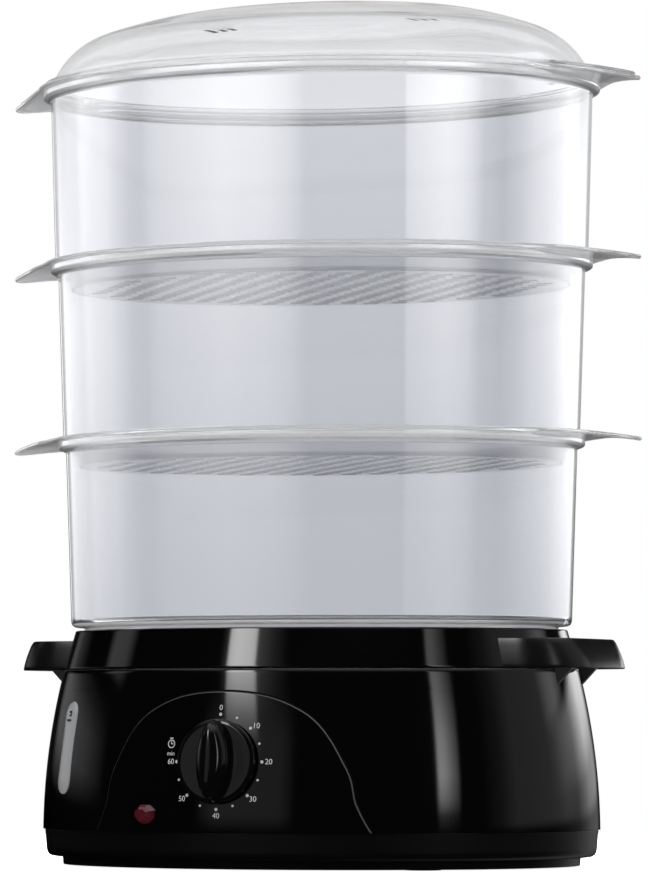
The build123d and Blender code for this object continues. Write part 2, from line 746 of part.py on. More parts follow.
with BuildPart() as heater_clamps:
    for turn in (90, 210, 330):
        direction = radians(turn)
        with BuildSketch(Plane.XY.offset(HEATER_UNDERSIDE)):
            with Locations(Location((46 * cos(direction), 46 * sin(direction)), turn)):
                Rectangle(14, 9)
            with Locations((48 * cos(direction), 48 * sin(direction))):
                Circle(1.7, mode=Mode.SUBTRACT)
        extrude(amount=-1.5)
heater_clamps.part.label = "heater_clamps"
export_step(heater_clamps.part, "parts/heater_clamps.step")

with BuildPart() as heater_screws:
    with BuildSketch(Plane.XY.offset(HEATER_UNDERSIDE - 1.5)):
        with PolarLocations(48, 3, 90):
            Circle(2.8)
    extrude(amount=-2)
    with BuildSketch(Plane.XY.offset(HEATER_UNDERSIDE - 1.5)):
        with PolarLocations(48, 3, 90):
            Circle(1.5)
    extrude(amount=5.5)
heater_screws.part.label = "heater_screws"
export_step(heater_screws.part, "parts/heater_screws.step")

STRAP_TOP = HEATER_UNDERSIDE - 7.3
with BuildPart() as thermostat:
    with BuildSketch(Plane.XY.offset(STRAP_TOP)):
        Circle(11)
    extrude(amount=7.3)
thermostat.part.label = "thermostat"
export_step(thermostat.part, "parts/thermostat.step")

with BuildPart() as thermostat_strap:
    with BuildSketch(Plane.XY.offset(STRAP_TOP)):
        SlotOverall(86, 10)
    extrude(amount=-1.5)
thermostat_strap.part.label = "thermostat_strap"
export_step(thermostat_strap.part, "parts/thermostat_strap.step")

with BuildPart() as thermal_fuse:
    with BuildSketch(Plane.YZ.offset(-7)):
        with Locations((18, HEATER_UNDERSIDE - 2)):
            Circle(2)
    extrude(amount=14)
thermal_fuse.part.label = "thermal_fuse"
export_step(thermal_fuse.part, "parts/thermal_fuse.step")

# The steam ring stands on the tank floor round the heater and lets water in through notches.
with BuildPart() as steam_ring:
    with BuildSketch(Plane.XZ):
        with BuildLine():
            Polyline(
                (46, TANK_CAVITY_FLOOR),
                (44, TANK_CAVITY_FLOOR),
                (38, TANK_CAVITY_FLOOR + 34),
                (40, TANK_CAVITY_FLOOR + 34),
                close=True,
            )
        make_face()
    revolve(axis=Axis.Z)
    with BuildSketch(Plane.XY.offset(TANK_CAVITY_FLOOR)):
        with PolarLocations(45, 4, 45):
            Rectangle(12, 10)
    extrude(amount=5, mode=Mode.SUBTRACT)
steam_ring.part.label = "steam_ring"
export_step(steam_ring.part, "parts/steam_ring.step")


# ---------------------------------------------------------------------------------------------
# Timer: knob and shaft turn together; the clockwork sits behind the panel with its bell.
# ---------------------------------------------------------------------------------------------
with BuildPart() as timer_knob:
    with BuildSketch(DIAL_PLANE.offset(0.6)):
        Circle(KNOB_RADIUS)
    extrude(amount=KNOB_SKIRT - 0.6)
    chamfer(timer_knob.edges().filter_by(GeomType.CIRCLE).sort_by(Axis.Y)[0], length=1.0)
    with BuildSketch(DIAL_PLANE.offset(KNOB_SKIRT)):
        SlotOverall(2 * KNOB_RADIUS - 2.4, RIDGE_WIDTH, rotation=90)
    extrude(amount=KNOB_HEIGHT - KNOB_SKIRT, taper=5)
    with BuildSketch(DIAL_PLANE.offset(0.6)):
        Circle(SHAFT_RADIUS + 0.02)
    extrude(amount=9.4, mode=Mode.SUBTRACT)
timer_knob.part.label = "timer_knob"
export_step(timer_knob.part, "parts/timer_knob.step")

with BuildPart() as timer_shaft:
    with BuildSketch(DIAL_PLANE.offset(-14)):
        Circle(SHAFT_RADIUS)
    extrude(amount=24)
timer_shaft.part.label = "timer_shaft"
export_step(timer_shaft.part, "parts/timer_shaft.step")

TIMER_FRONT = -6.4
TIMER_DEPTH = 17.0
POST_TOP = -3.05
with BuildPart() as timer_body:
    with BuildSketch(DIAL_PLANE.offset(TIMER_FRONT)):
        RectangleRounded(44, 40, 4)
    extrude(amount=-TIMER_DEPTH)
    with BuildSketch(DIAL_PLANE.offset(TIMER_FRONT)):
        with Locations((-12, 0), (12, 0)):
            Circle(3.2)
    extrude(amount=POST_TOP - TIMER_FRONT)
    with BuildSketch(DIAL_PLANE.offset(TIMER_FRONT)):
        Circle(SHAFT_RADIUS + 0.06)
    extrude(amount=-9.4, mode=Mode.SUBTRACT)
    with BuildSketch(DIAL_PLANE.offset(POST_TOP)):
        with Locations((-12, 0), (12, 0)):
            Circle(1.55)
    extrude(amount=-8, mode=Mode.SUBTRACT)
timer_body.part.label = "timer_body"
export_step(timer_body.part, "parts/timer_body.step")

with BuildPart() as timer_bell:
    with BuildSketch(DIAL_PLANE.offset(TIMER_FRONT - TIMER_DEPTH)):
        Circle(16)
    extrude(amount=-3.4, taper=20)
timer_bell.part.label = "timer_bell"
export_step(timer_bell.part, "parts/timer_bell.step")

with BuildPart() as timer_screws:
    with BuildSketch(DIAL_PLANE.offset(-0.26)):
        with Locations((-12, 0), (12, 0)):
            Circle(2.7)
    extrude(amount=0.55)
    with BuildSketch(DIAL_PLANE.offset(-0.26)):
        with Locations((-12, 0), (12, 0)):
            Circle(1.5)
    extrude(amount=-9)
timer_screws.part.label = "timer_screws"
export_step(timer_screws.part, "parts/timer_screws.step")


# ---------------------------------------------------------------------------------------------
# Pilot lamp: a faceted lens in the panel, its holder and the neon tube behind it.
# ---------------------------------------------------------------------------------------------
with BuildPart() as lamp_lens:
    with BuildSketch(LAMP_PLANE.offset(-4.6)):
        Circle(LAMP_RADIUS)
    extrude(amount=5.0)
    with BuildSketch(LAMP_PLANE.offset(0.4)):
        RegularPolygon(LAMP_RADIUS - 0.1, 8)
    extrude(amount=1.4, taper=50)
lamp_lens.part.label = "lamp_lens"
export_step(lamp_lens.part, "parts/lamp_lens.step")

with BuildPart() as lamp_holder:
    with BuildSketch(LAMP_PLANE.offset(-3.2)):
        Circle(7)
    extrude(amount=-9.1)
    with BuildSketch(LAMP_PLANE.offset(-3.2)):
        Circle(LAMP_RADIUS + 0.05)
    extrude(amount=-7.6, mode=Mode.SUBTRACT)
lamp_holder.part.label = "lamp_holder"
export_step(lamp_holder.part, "parts/lamp_holder.step")

with BuildPart() as neon_lamp:
    with BuildSketch(LAMP_PLANE.offset(-10.5)):
        Circle(2.3)
    extrude(amount=5.4)
neon_lamp.part.label = "neon_lamp"
export_step(neon_lamp.part, "parts/neon_lamp.step")


# ---------------------------------------------------------------------------------------------
# Mains side: the gland where a cord would enter, its nut, the terminal block and the inner leads.
# ---------------------------------------------------------------------------------------------
BORE_RADIUS = 3.7
with BuildPart() as cord_gland:
    with BuildSketch(GLAND_PLANE):
        Circle(9)
    extrude(amount=GLAND_DEPTH)
    with BuildSketch(GLAND_PLANE):
        Circle(GLAND_RADIUS)
    extrude(amount=-7.2)
    with BuildSketch(GLAND_PLANE.offset(GLAND_DEPTH)):
        Circle(BORE_RADIUS)
    extrude(amount=-GLAND_DEPTH - 7.2, mode=Mode.SUBTRACT)
cord_gland.part.label = "cord_gland"
export_step(cord_gland.part, "parts/cord_gland.step")

with BuildPart() as gland_nut:
    with BuildSketch(GLAND_PLANE.offset(-7.0)):
        RegularPolygon(9, 6)
        Circle(GLAND_RADIUS + 0.02, mode=Mode.SUBTRACT)
    extrude(amount=3.2)
gland_nut.part.label = "gland_nut"
export_step(gland_nut.part, "parts/gland_nut.step")

with BuildPart() as terminal_block:
    with BuildSketch(Plane.XY.offset(FLOOR_TOP)):
        with Locations((0, 78)):
            Rectangle(34, 16)
    extrude(amount=9)
    with BuildSketch(Plane.XY.offset(FLOOR_TOP + 9)):
        with Locations((0, 78)):
            with GridLocations(11, 1, 3, 1):
                Rectangle(7, 10)
    extrude(amount=4)
terminal_block.part.label = "terminal_block"
export_step(terminal_block.part, "parts/terminal_block.step")

LEAD_RADIUS = 1.1
LEADS = (
    # From the terminal block to the timer, along the left wall.
    ((-18.2, 78, 12), (-62, 78, 12), (-66, 20, 12), (-50, -62, 12), (-12, -76, 12), (-12, -76, 24)),
    # From the terminal block to the two pins of the heating element.
    ((11, 68.9, 11), (11, 48, 11), (-2.1, 34, 13.1), (-2.1, 29.9, 13.1)),
)
with BuildPart() as inner_leads:
    for route in LEADS:
        with BuildLine() as path:
            FilletPolyline(route[0], *route[1:], radius=2.2)
        start = path.line @ 0
        with BuildSketch(Plane(origin=start, z_dir=path.line % 0)):
            RegularPolygon(LEAD_RADIUS, 6)
        sweep(path=path.line)
inner_leads.part.label = "inner_leads"
export_step(inner_leads.part, "parts/inner_leads.step")
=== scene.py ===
"""Three-tier oval food steamer: clear lid and baskets on a black drip tray and a glossy black base.

Metres, Z up, the front with the dial facing -Y. Sizes are named in millimetres and take MM on their
way into a mesh. Levels of the steamer are offsets of one four-arc oval, named by their mean radius.
"""

from math import acos, asin, atan2, cos, pi, radians, sin, sqrt, tan

import bmesh
import bpy
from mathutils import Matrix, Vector


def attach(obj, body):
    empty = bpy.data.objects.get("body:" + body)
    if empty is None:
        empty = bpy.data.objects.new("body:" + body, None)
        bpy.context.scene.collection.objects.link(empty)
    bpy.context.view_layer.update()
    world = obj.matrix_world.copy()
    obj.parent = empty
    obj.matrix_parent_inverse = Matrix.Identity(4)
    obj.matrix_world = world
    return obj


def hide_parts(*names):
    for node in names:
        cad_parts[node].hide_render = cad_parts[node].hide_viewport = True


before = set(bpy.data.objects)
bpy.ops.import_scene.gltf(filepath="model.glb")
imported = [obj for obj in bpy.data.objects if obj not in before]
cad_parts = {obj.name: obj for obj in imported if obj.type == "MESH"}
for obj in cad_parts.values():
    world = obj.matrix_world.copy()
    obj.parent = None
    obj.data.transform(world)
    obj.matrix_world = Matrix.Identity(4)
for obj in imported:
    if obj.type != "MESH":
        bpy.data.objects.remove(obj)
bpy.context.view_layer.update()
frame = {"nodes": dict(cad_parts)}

MM = 0.001
scene = bpy.context.scene

# ---------------------------------------------------------------------------------------------
# Camera: a long lens a little above the table, turned to the right of the front and tipped up a
# little, so that the steamer fills the frame.
# ---------------------------------------------------------------------------------------------
VIEW_TURN = radians(25.04)
VIEW_DISTANCE = 2.478
VIEW_HEIGHT = 0.0635
VIEW_PITCH = radians(3.10)
VIEW_ASIDE = radians(0.0415)  # the steamer's axis stands a little left of the middle
LENS = 221.5


def placed(name, data):
    """An object in the scene that holds a mesh, a light, a lens or a line of text."""
    made = bpy.data.objects.new(name, data)
    scene.collection.objects.link(made)
    return made


lens = bpy.data.cameras.new("camera")
lens.lens = LENS
lens.sensor_width = 36.0
camera = placed("camera", lens)
camera.location = (VIEW_DISTANCE * sin(VIEW_TURN), -VIEW_DISTANCE * cos(VIEW_TURN), VIEW_HEIGHT)
camera.rotation_euler = (radians(90) + VIEW_PITCH, 0, VIEW_TURN - VIEW_ASIDE)
scene.camera = camera
scene.view_settings.view_transform = "Standard"


# ---------------------------------------------------------------------------------------------
# Studio: a white sweep behind the steamer, black curtains round the camera with two strip lights in
# them, and a large soft light overhead. The clear pieces, polished sharp, see soft boxes of their own.
# ---------------------------------------------------------------------------------------------
def feed(tree, node, inputs):
    """Sets a node's inputs, each from a value or from the socket that feeds it."""
    for key, value in inputs.items():
        if isinstance(value, bpy.types.NodeSocket):
            tree.links.new(value, node.inputs[key])
        else:
            node.inputs[key].default_value = value


def add_node(tree, kind, inputs=(), **settings):
    """A node with its settings and inputs; a kind that names no family is a shader node."""
    made = tree.nodes.new(kind if "Node" in kind else "ShaderNode" + kind)
    for key, value in settings.items():
        setattr(made, key, value)
    feed(tree, made, dict(inputs))
    return made


def add_ramp(tree, factor, stops):
    """A ramp of greys from (place, grey) stops, as a socket."""
    made = add_node(tree, "ValToRGB", {"Fac": factor})
    elements = made.color_ramp.elements
    while len(elements) < len(stops):
        elements.new(1.0)
    for element, (place, grey) in zip(elements, stops):
        element.position = place
        element.color = (grey, grey, grey, 1)
    return made.outputs["Color"]


def round_ramp(tree, factor, stops):
    """A ramp over a whole turn, its stops in degrees from the camera."""
    return add_ramp(tree, factor, [((turn + 180) / 360, grey) for turn, grey in stops])


def mixed(tree, blend, first, second, amount=1.0):
    """Two colours put together, as a socket."""
    inputs = {"Fac": amount, "Color1": first, "Color2": second}
    return add_node(tree, "MixRGB", inputs, blend_type=blend).outputs[0]


def soft_box(tree, across, up, strength):
    """A light from its falls across and up, as a socket."""
    return mixed(tree, "MULTIPLY", mixed(tree, "MULTIPLY", across, up), (strength,) * 3 + (1,))


BLACK = (0.0, 0.0, 0.0, 1.0)
WHITE = (1.0, 1.0, 1.0, 1.0)
LEAN = 24 / 360  # share of a turn that a leaning light slides over a height of 1
world = bpy.data.worlds.new("studio")
scene.world = world
world.use_nodes = True
world.cycles.sampling_method = "NONE"
sky = world.node_tree
sky.nodes.clear()
direction = add_node(sky, "TexCoord").outputs["Generated"]
facing = add_node(sky, "Mapping", {"Vector": direction, "Rotation": (0, 0, -VIEW_TURN)}).outputs[0]
parts = add_node(sky, "SeparateXYZ", {0: facing})
height = parts.outputs["Z"]
away = add_node(sky, "Math", {0: parts.outputs["Y"], 1: -1.0}, operation="MULTIPLY").outputs[0]
turn = add_node(sky, "Math", {0: parts.outputs["X"], 1: away}, operation="ARCTAN2").outputs[0]
share = add_node(sky, "Math", {0: turn, 1: 1 / (2 * pi), 2: 0.5}, operation="MULTIPLY_ADD").outputs[0]
leaning = add_node(sky, "Math", {0: height, 1: LEAN, 2: share}, operation="MULTIPLY_ADD").outputs[0]
level = add_node(sky, "Math", {0: height, 1: 0.5, 2: 0.5}, operation="MULTIPLY_ADD").outputs[0]

LIGHTS = (  # how it lies, falls round in degrees from the camera, falls up by height, strength
    (  # a broad glow from the right
        share,
        (
            (-180, 0.02), (-150, 0.0), (50, 0.0), (62, 0.10), (72, 0.30), (98, 0.32), (112, 0.26),
            (118, 0.15), (124, 0.02), (165, 0.02), (180, 0.02),
        ),
        ((0.0, 0.0), (0.02, 1.0)),
        1.0,
    ),
    (  # the sweep behind, low at the right
        share,
        (
            (-180, 0.02), (-160, 0.0), (98, 0.0), (104, 0.05), (112, 0.18), (125, 0.35), (135, 0.75),
            (142, 1.0), (156, 0.8), (164, 0.06), (180, 0.02),
        ),
        ((0.0, 0.05), (0.015, 0.13), (0.05, 0.17), (0.09, 0.38), (0.14, 0.5), (0.17, 0.5), (0.2, 0.0)),
        6.0,
    ),
    (  # a sheen over the right end of the tray
        share,
        ((98, 0.0), (106, 0.8), (113, 1.0), (118, 0.6), (124, 0.0)),
        ((0.0, 0.0), (0.17, 0.0), (0.22, 1.0), (0.3, 1.0), (0.36, 0.5), (0.42, 0.0)),
        0.8,
    ),
    (  # a sheen down the left end of the base
        share,
        ((-155, 0.0), (-146, 0.9), (-138, 1.0), (-128, 0.9), (-118, 0.75), (-110, 0.35), (-104, 0.0)),
        ((0.0, 0.0), (0.03, 0.0), (0.06, 0.4), (0.09, 1.0), (0.15, 1.0), (0.2, 0.3), (0.24, 0.0)),
        0.38,
    ),
    (  # a band at the left of the tray
        share,
        ((-118, 0.0), (-114, 1.0), (-106, 1.0), (-101, 0.0)),
        ((0.0, 0.0), (0.27, 0.0), (0.31, 1.0), (0.42, 1.0), (0.5, 0.0)),
        0.5,
    ),
    (  # a low sheen left of the dial
        share,
        ((-60, 0.0), (-52, 1.0), (-28, 0.8), (-22, 0.0)),
        ((0.0, 0.0), (0.05, 1.0), (0.26, 1.0), (0.4, 0.0)),
        0.29,
    ),
    (  # the left strip light, which leans
        leaning,
        (
            (-46.0, 0.0), (-43.4, 0.03), (-43.0, 0.8), (-39, 1.0), (-31.0, 0.85), (-30.2, 0.08), (-22, 0.02),
            (-16, 0.0),
        ),
        ((0.2, 0.0), (0.26, 0.03), (0.334, 0.24), (0.415, 0.63), (0.5, 1.0), (0.62, 1.0), (0.72, 0.0)),
        11.0,
    ),
    (  # the right strip light
        share,
        ((28.6, 0.0), (29.3, 1.0), (31.5, 0.95), (34, 0.5), (38, 0.0)),
        (
            (0.0, 0.0), (0.05, 0.09), (0.1, 0.62), (0.17, 1.0), (0.27, 0.87), (0.41, 0.5), (0.5, 0.45),
            (0.62, 0.0),
        ),
        4.8,
    ),
)
curtains = BLACK
for lie, across, up, strength in LIGHTS:
    light = soft_box(sky, round_ramp(sky, lie, across), add_ramp(sky, height, up), strength)
    curtains = mixed(sky, "ADD", curtains, light)
overhead = add_ramp(sky, height, ((0.0, 0.0), (0.55, 0.0), (0.85, 0.9), (1.0, 1.0)))
curtains = mixed(sky, "LIGHTEN", curtains, overhead)
CLEAR_STOPS = (  # turn from the camera in degrees, share of the soft boxes that the clear pieces show
    (-180, 0.02), (-167, 0.02), (-165, 0.24), (-162, 0.04), (-155, 0.06), (-150, 0.26), (-127, 0.34),
    (-122, 0.46), (-106, 0.52), (-99, 0.4), (-92, 0.26), (-86, 0.26), (-79, 0.47), (-69, 0.62), (-50, 0.88),
    (-34, 0.83), (-26, 0.66), (-20.5, 0.42), (-19, 0.335), (17, 0.335), (18.5, 0.7), (33, 1.0), (43, 0.76),
    (53, 0.27), (66, 0.12), (79, 0.30), (90, 0.5), (104, 0.56), (124, 0.55), (152, 0.3), (158, 0.04),
    (180, 0.02),
)
CLEAR_RISE = (
    (0.0, 0.03), (0.465, 0.045), (0.49, 0.28), (0.507, 0.555), (0.523, 0.805), (0.552, 1.0), (0.6, 0.5),
    (0.675, 0.12), (0.75, 0.08), (1.0, 0.08),
)
CLEAR_STRENGTH = 12.6
OVER_LID = (0.7, 0.7, 0.7, 1)
clear_round = round_ramp(sky, share, CLEAR_STOPS)
clear_boxes = soft_box(sky, clear_round, add_ramp(sky, level, CLEAR_RISE), CLEAR_STRENGTH)
behind = round_ramp(sky, share, ((-180, 1.0), (-140, 1.0), (-120, 0.0), (120, 0.0), (140, 1.0), (180, 1.0)))
over_lid = mixed(sky, "MULTIPLY", behind, add_ramp(sky, height, ((0.0, 0.0), (0.05, 0.0), (0.14, 1.0))))
clear_boxes = mixed(sky, "MIX", clear_boxes, OVER_LID, over_lid)
THROUGH_STOPS = ((0.0, 1.0), (0.66, 1.0), (0.80, 0.5), (1.0, 0.45))
through = add_ramp(sky, level, THROUGH_STOPS)  # what a look through the plastic ends on
ray = add_node(sky, "LightPath")
shown = curtains
LOOKS = (("Singular", clear_boxes), ("Transmission", through), ("Diffuse", WHITE), ("Camera", WHITE))
for kind, look in LOOKS:
    shown = mixed(sky, "MIX", shown, look, ray.outputs["Is %s Ray" % kind])
backdrop = add_node(sky, "Background", {"Color": shown, "Strength": 1.0}).outputs[0]
add_node(sky, "OutputWorld", {"Surface": backdrop})

OVERHEAD_POWER = 60.0
OVERHEAD_SIZE = 2.0
top = bpy.data.lights.new("overhead", "AREA")
top.shape = "RECTANGLE"
top.size = OVERHEAD_SIZE
top.size_y = OVERHEAD_SIZE
top.energy = OVERHEAD_POWER
top_light = placed("overhead", top)
top_light.location = (0.0, -0.1, 2.2)
top_light.visible_glossy = False
top_light.visible_transmission = False


def blank_finish(name):
    """A new finish, its tree, and the shader that its inputs go to."""
    finish = bpy.data.materials.new(name)
    finish.use_nodes = True
    return finish, finish.node_tree, finish.node_tree.nodes["Principled BSDF"]


FLOOR_RADIUS = 0.75
FLOOR_SIDES = 96
floor_paint, tree, shader = blank_finish("floor_paint")
feed(
    tree,
    shader,
    {
        "Base Color": (0.9, 0.9, 0.9, 1),
        "Roughness": 0.9,
        "Specular IOR Level": 0.0,
        "Emission Color": WHITE,
        "Emission Strength": 0.9,
    },
)
floor_mesh = bpy.data.meshes.new("floor")
turns = [2 * pi * i / FLOOR_SIDES for i in range(FLOOR_SIDES)]
floor_edge = [(FLOOR_RADIUS * cos(turn), FLOOR_RADIUS * sin(turn), 0) for turn in turns]
floor_mesh.from_pydata(floor_edge, [], [tuple(range(FLOOR_SIDES))])
floor_mesh.materials.append(floor_paint)
floor = placed("floor", floor_mesh)
floor.visible_glossy = False
floor.visible_diffuse = False

# ---------------------------------------------------------------------------------------------
# Lid: one clear moulding. A shallow dome runs down to a flange with a lifting ear at each end, and
# a skirt under it drops into the top basket.
# ---------------------------------------------------------------------------------------------
OVAL_EXCESS = 11.3
SIDE_CENTRE = 40.0
OVAL_SPREAD = 2 * OVAL_EXCESS
END_CENTRE = OVAL_SPREAD * (2 * SIDE_CENTRE - OVAL_SPREAD) / (2 * (SIDE_CENTRE - OVAL_SPREAD))
END_SHIFT = OVAL_EXCESS - END_CENTRE
SIDE_SHIFT = SIDE_CENTRE - OVAL_EXCESS
JOIN = atan2(SIDE_CENTRE, END_CENTRE)
EAR_TIP_RADIUS = 8.0
EAR_FLARE_RADIUS = 300.0
EAR_BEND = 131.0
EAR_DROOP = 3.0
EAR_CURL = 1.5  # how fast the droop grows out to the tip
END_STEPS = 40  # steps from the middle of an end arc to its join
END_CROWDING = 1.6  # draws those steps together at the ear
SIDE_STEPS = 40  # steps along a whole side arc


def oval_places():
    """Where the sections stand round the oval: (centre, shift, heading, turn from the ear or None)."""
    places = []
    end_turns = [JOIN * (i / END_STEPS) ** END_CROWDING for i in range(END_STEPS + 1)]
    right_end = [-turn for turn in reversed(end_turns[1:])] + end_turns
    side_turns = [JOIN + (pi - 2 * JOIN) * i / SIDE_STEPS for i in range(1, SIDE_STEPS)]
    places += [((END_CENTRE, 0), END_SHIFT, turn, turn) for turn in right_end]
    places += [((0, -SIDE_CENTRE), SIDE_SHIFT, turn, None) for turn in side_turns]
    places += [((-END_CENTRE, 0), END_SHIFT, pi + turn, turn) for turn in right_end]
    places += [((0, SIDE_CENTRE), SIDE_SHIFT, pi + turn, None) for turn in side_turns]
    places.append(places[0])
    return places


PLACES = oval_places()


def oval_row(radius, height):
    """One level of the oval as a closed row of points."""
    return [
        (centre[0] + (radius + shift) * cos(heading), centre[1] + (radius + shift) * sin(heading), height)
        for centre, shift, heading, ear in PLACES
    ]


def ear_reach(turn, radius, tip):
    """How far a lip with an ear reaches from the centre of its end arc."""
    end = radius + END_SHIFT
    to_tip = tip - EAR_TIP_RADIUS - END_CENTRE
    to_flare = (end + EAR_FLARE_RADIUS) ** 2
    across = (to_tip**2 + to_flare - (EAR_TIP_RADIUS + EAR_FLARE_RADIUS) ** 2) / (2 * to_tip)
    aside = sqrt(to_flare - across**2)
    leave = atan2(aside, across)
    arrive = atan2(aside, across - to_tip)
    hand_over = atan2(EAR_TIP_RADIUS * sin(arrive), to_tip + EAR_TIP_RADIUS * cos(arrive))
    turn = abs(turn)
    if turn >= leave:
        return end
    if turn <= hand_over:
        return to_tip * cos(turn) + sqrt(EAR_TIP_RADIUS**2 - (to_tip * sin(turn)) ** 2)
    along = across * cos(turn) + aside * sin(turn)
    return along - sqrt(along**2 - (across**2 + aside**2 - EAR_FLARE_RADIUS**2))


def eared_row(radius, tip, height, inner=0.0, part=1.0):
    """A row of a lip with ears; part runs from the inner level's row (0) to the lip's edge (1)."""
    row = []
    for centre, shift, heading, ear in PLACES:
        reach = radius + shift if ear is None else ear_reach(ear, radius, tip)
        reach = part * reach + (1 - part) * (inner + shift)
        x = centre[0] + reach * cos(heading)
        y = centre[1] + reach * sin(heading)
        bend = max(0.0, (abs(x) - EAR_BEND) / (tip - EAR_BEND))
        row.append((x, y, height - EAR_DROOP * bend**EAR_CURL))
    return row


EAR_PARTS = (0.1, 0.5, 0.96, 1.0)


def eared_lip(edge, tip, near, far, inner_near, inner_far, soft, corner):
    """Rows of a lip with ears: out along its near face, round its edge and back along its far face."""
    up = 1 if far > near else -1

    def face(height, inner, parts):
        return [eared_row(edge - soft, tip - soft, height, inner, part) for part in parts]

    rim = [
        eared_row(edge - corner, tip - corner, near + up * corner),
        eared_row(edge, tip, near + up * soft),
        eared_row(edge - corner, tip - corner, far - up * corner),
    ]
    return face(near, inner_near, EAR_PARTS) + rim + face(far, inner_far, (*EAR_PARTS[::-1], 0.0))


def rounded(corners, steps=4):
    """A section line with its corners rounded: each corner is (mean radius, height, rounding)."""
    line = []
    last = len(corners) - 1
    for i, (radius, height, rounding) in enumerate(corners):
        here = Vector((radius, height))
        if rounding == 0 or i in (0, last):
            line.append((radius, height))
            continue
        before = Vector(corners[i - 1][:2]) - here
        after = Vector(corners[i + 1][:2]) - here
        back = min(rounding / tan(before.angle(after) / 2), 0.49 * before.length, 0.49 * after.length)
        start = here + before.normalized() * back
        end = here + after.normalized() * back
        for k in range(steps + 1):
            t = k / steps
            line.append(tuple(start * (1 - t) ** 2 + here * 2 * t * (1 - t) + end * t * t))
    return line


def supported(line, near=0.5, long=3.0):
    """The same section line with a further point near each end of its long straights."""
    held = [line[0]]
    for start, end in zip(line, line[1:]):
        run = Vector(end) - Vector(start)
        if run.length > long:
            step = run.normalized() * near
            held += [tuple(Vector(start) + step), tuple(Vector(end) - step)]
        held.append(end)
    return held


def swept(corners):
    """The rows of a rounded section line carried round the oval."""
    return [oval_row(radius, height) for radius, height in supported(rounded(corners))]


def finished(name, shape, finishes, sharp=None):
    """A piece from a built shape, smooth but for its corners over an angle in degrees."""
    mesh = bpy.data.meshes.new(name)
    shape.to_mesh(mesh)
    shape.free()
    if sharp:
        mesh.shade_smooth()
        mesh.set_sharp_from_angle(angle=radians(sharp))
    for finish in finishes:
        mesh.materials.append(finish)
    return placed(name, mesh)


def moulded(name, finish, *grids, caps=(), sharp=32):
    """A piece from grids of points in millimetres, each a list of rows, joined where they meet."""
    shape = bmesh.new()
    for rows in grids:
        made = [[shape.verts.new((x * MM, y * MM, z * MM)) for x, y, z in row] for row in rows]
        for near, far in zip(made, made[1:]):
            for i in range(len(near) - 1):
                shape.faces.new((near[i], near[i + 1], far[i + 1], far[i]))
    for cap in caps:
        shape.faces.new([shape.verts.new((x * MM, y * MM, z * MM)) for x, y, z in cap])
    bmesh.ops.remove_doubles(shape, verts=shape.verts, dist=2e-6)
    bmesh.ops.dissolve_degenerate(shape, edges=shape.edges, dist=1e-6)
    bmesh.ops.recalc_face_normals(shape, faces=shape.faces)
    return finished(name, shape, [finish], sharp)


SQUARE = ((-1, -1), (1, -1), (1, 1), (-1, 1))


def prism(name, finish, low, high):
    """A straight-sided piece between two rings of points."""
    return moulded(name, finish, [low + low[:1], high + high[:1]], caps=(low, high))


def noise(tree, place, scale, detail):
    """Cloudy greys over a piece, as a socket."""
    return add_node(tree, "TexNoise", {"Vector": place, "Scale": scale, "Detail": detail}).outputs["Fac"]


def between(tree, share, low, high):
    """A number between two limits, as a socket."""
    return add_node(tree, "MapRange", {"Value": share, "To Min": low, "To Max": high}).outputs[0]


def relief(tree, height, strength, distance):
    """A shallow relief for a shader's normal, as a socket."""
    return add_node(tree, "Bump", {"Height": height, "Strength": strength, "Distance": distance}).outputs[0]


def clear_moulding(name, tint, haze_low, haze_high, rim_tint, clarity=1.0):
    """Clear styrene: polished, wavy as a thin moulding is, and painted darker where it turns away, a painted
    shade for its dark edges.
    """
    finish, tree, shader = blank_finish(name)
    place = add_node(tree, "TexCoord").outputs["Object"]
    flow = add_node(tree, "Mapping", {"Vector": place, "Scale": (1.0, 1.0, 0.25)}).outputs[0]
    slope = add_node(tree, "LayerWeight", {"Blend": 0.5}).outputs["Facing"]
    # Painted shade: the colour runs to the darker edge tint where the surface turns from the view, standing
    # in for the shade at the plastic's edges.
    turned_shade = add_ramp(tree, slope, ((0.0, 0.0), (0.74, 0.0), (0.9, 1.0), (1.0, 1.0)))
    inputs = {
        "Base Color": mixed(tree, "MIX", (*tint, 1), (*rim_tint, 1), turned_shade),
        "Roughness": between(tree, noise(tree, flow, 60.0, 3.0), haze_low, haze_high),
        "Normal": relief(tree, noise(tree, flow, 22.0, 1.0), 0.06, 0.002),
        "IOR": 1.49,
        "Transmission Weight": clarity,
    }
    feed(tree, shader, inputs)
    return finish


def settled_mesh(piece):
    """The mesh that a piece has once its modifiers have worked, or its text has been set."""
    return bpy.data.meshes.new_from_object(piece.evaluated_get(bpy.context.evaluated_depsgraph_get()))


def cut(piece, cutter):
    """Takes one closed piece out of another and drops the cutter."""
    step = piece.modifiers.new("cut", "BOOLEAN")
    step.object = cutter
    step.operation = "DIFFERENCE"
    step.solver = "EXACT"
    done = settled_mesh(piece)
    piece.modifiers.clear()
    piece.data = done
    bpy.data.objects.remove(cutter)


def oval_mean(x, y):
    """Mean radius of the oval level that a point lies on."""
    x, y = abs(x), abs(y)
    if atan2(y, x - END_CENTRE) < JOIN and x > END_CENTRE:
        return sqrt((x - END_CENTRE) ** 2 + y**2) - END_SHIFT
    return sqrt(x**2 + (y + SIDE_CENTRE) ** 2) - SIDE_SHIFT


def second_finish(piece, finish, takes):
    """Gives a further finish to the faces that a rule on (mean radius, height) takes."""
    piece.data.materials.append(finish)
    index = len(piece.data.materials) - 1
    for face in piece.data.polygons:
        middle = face.center / MM
        if takes(oval_mean(middle.x, middle.y), middle.z):
            face.material_index = index


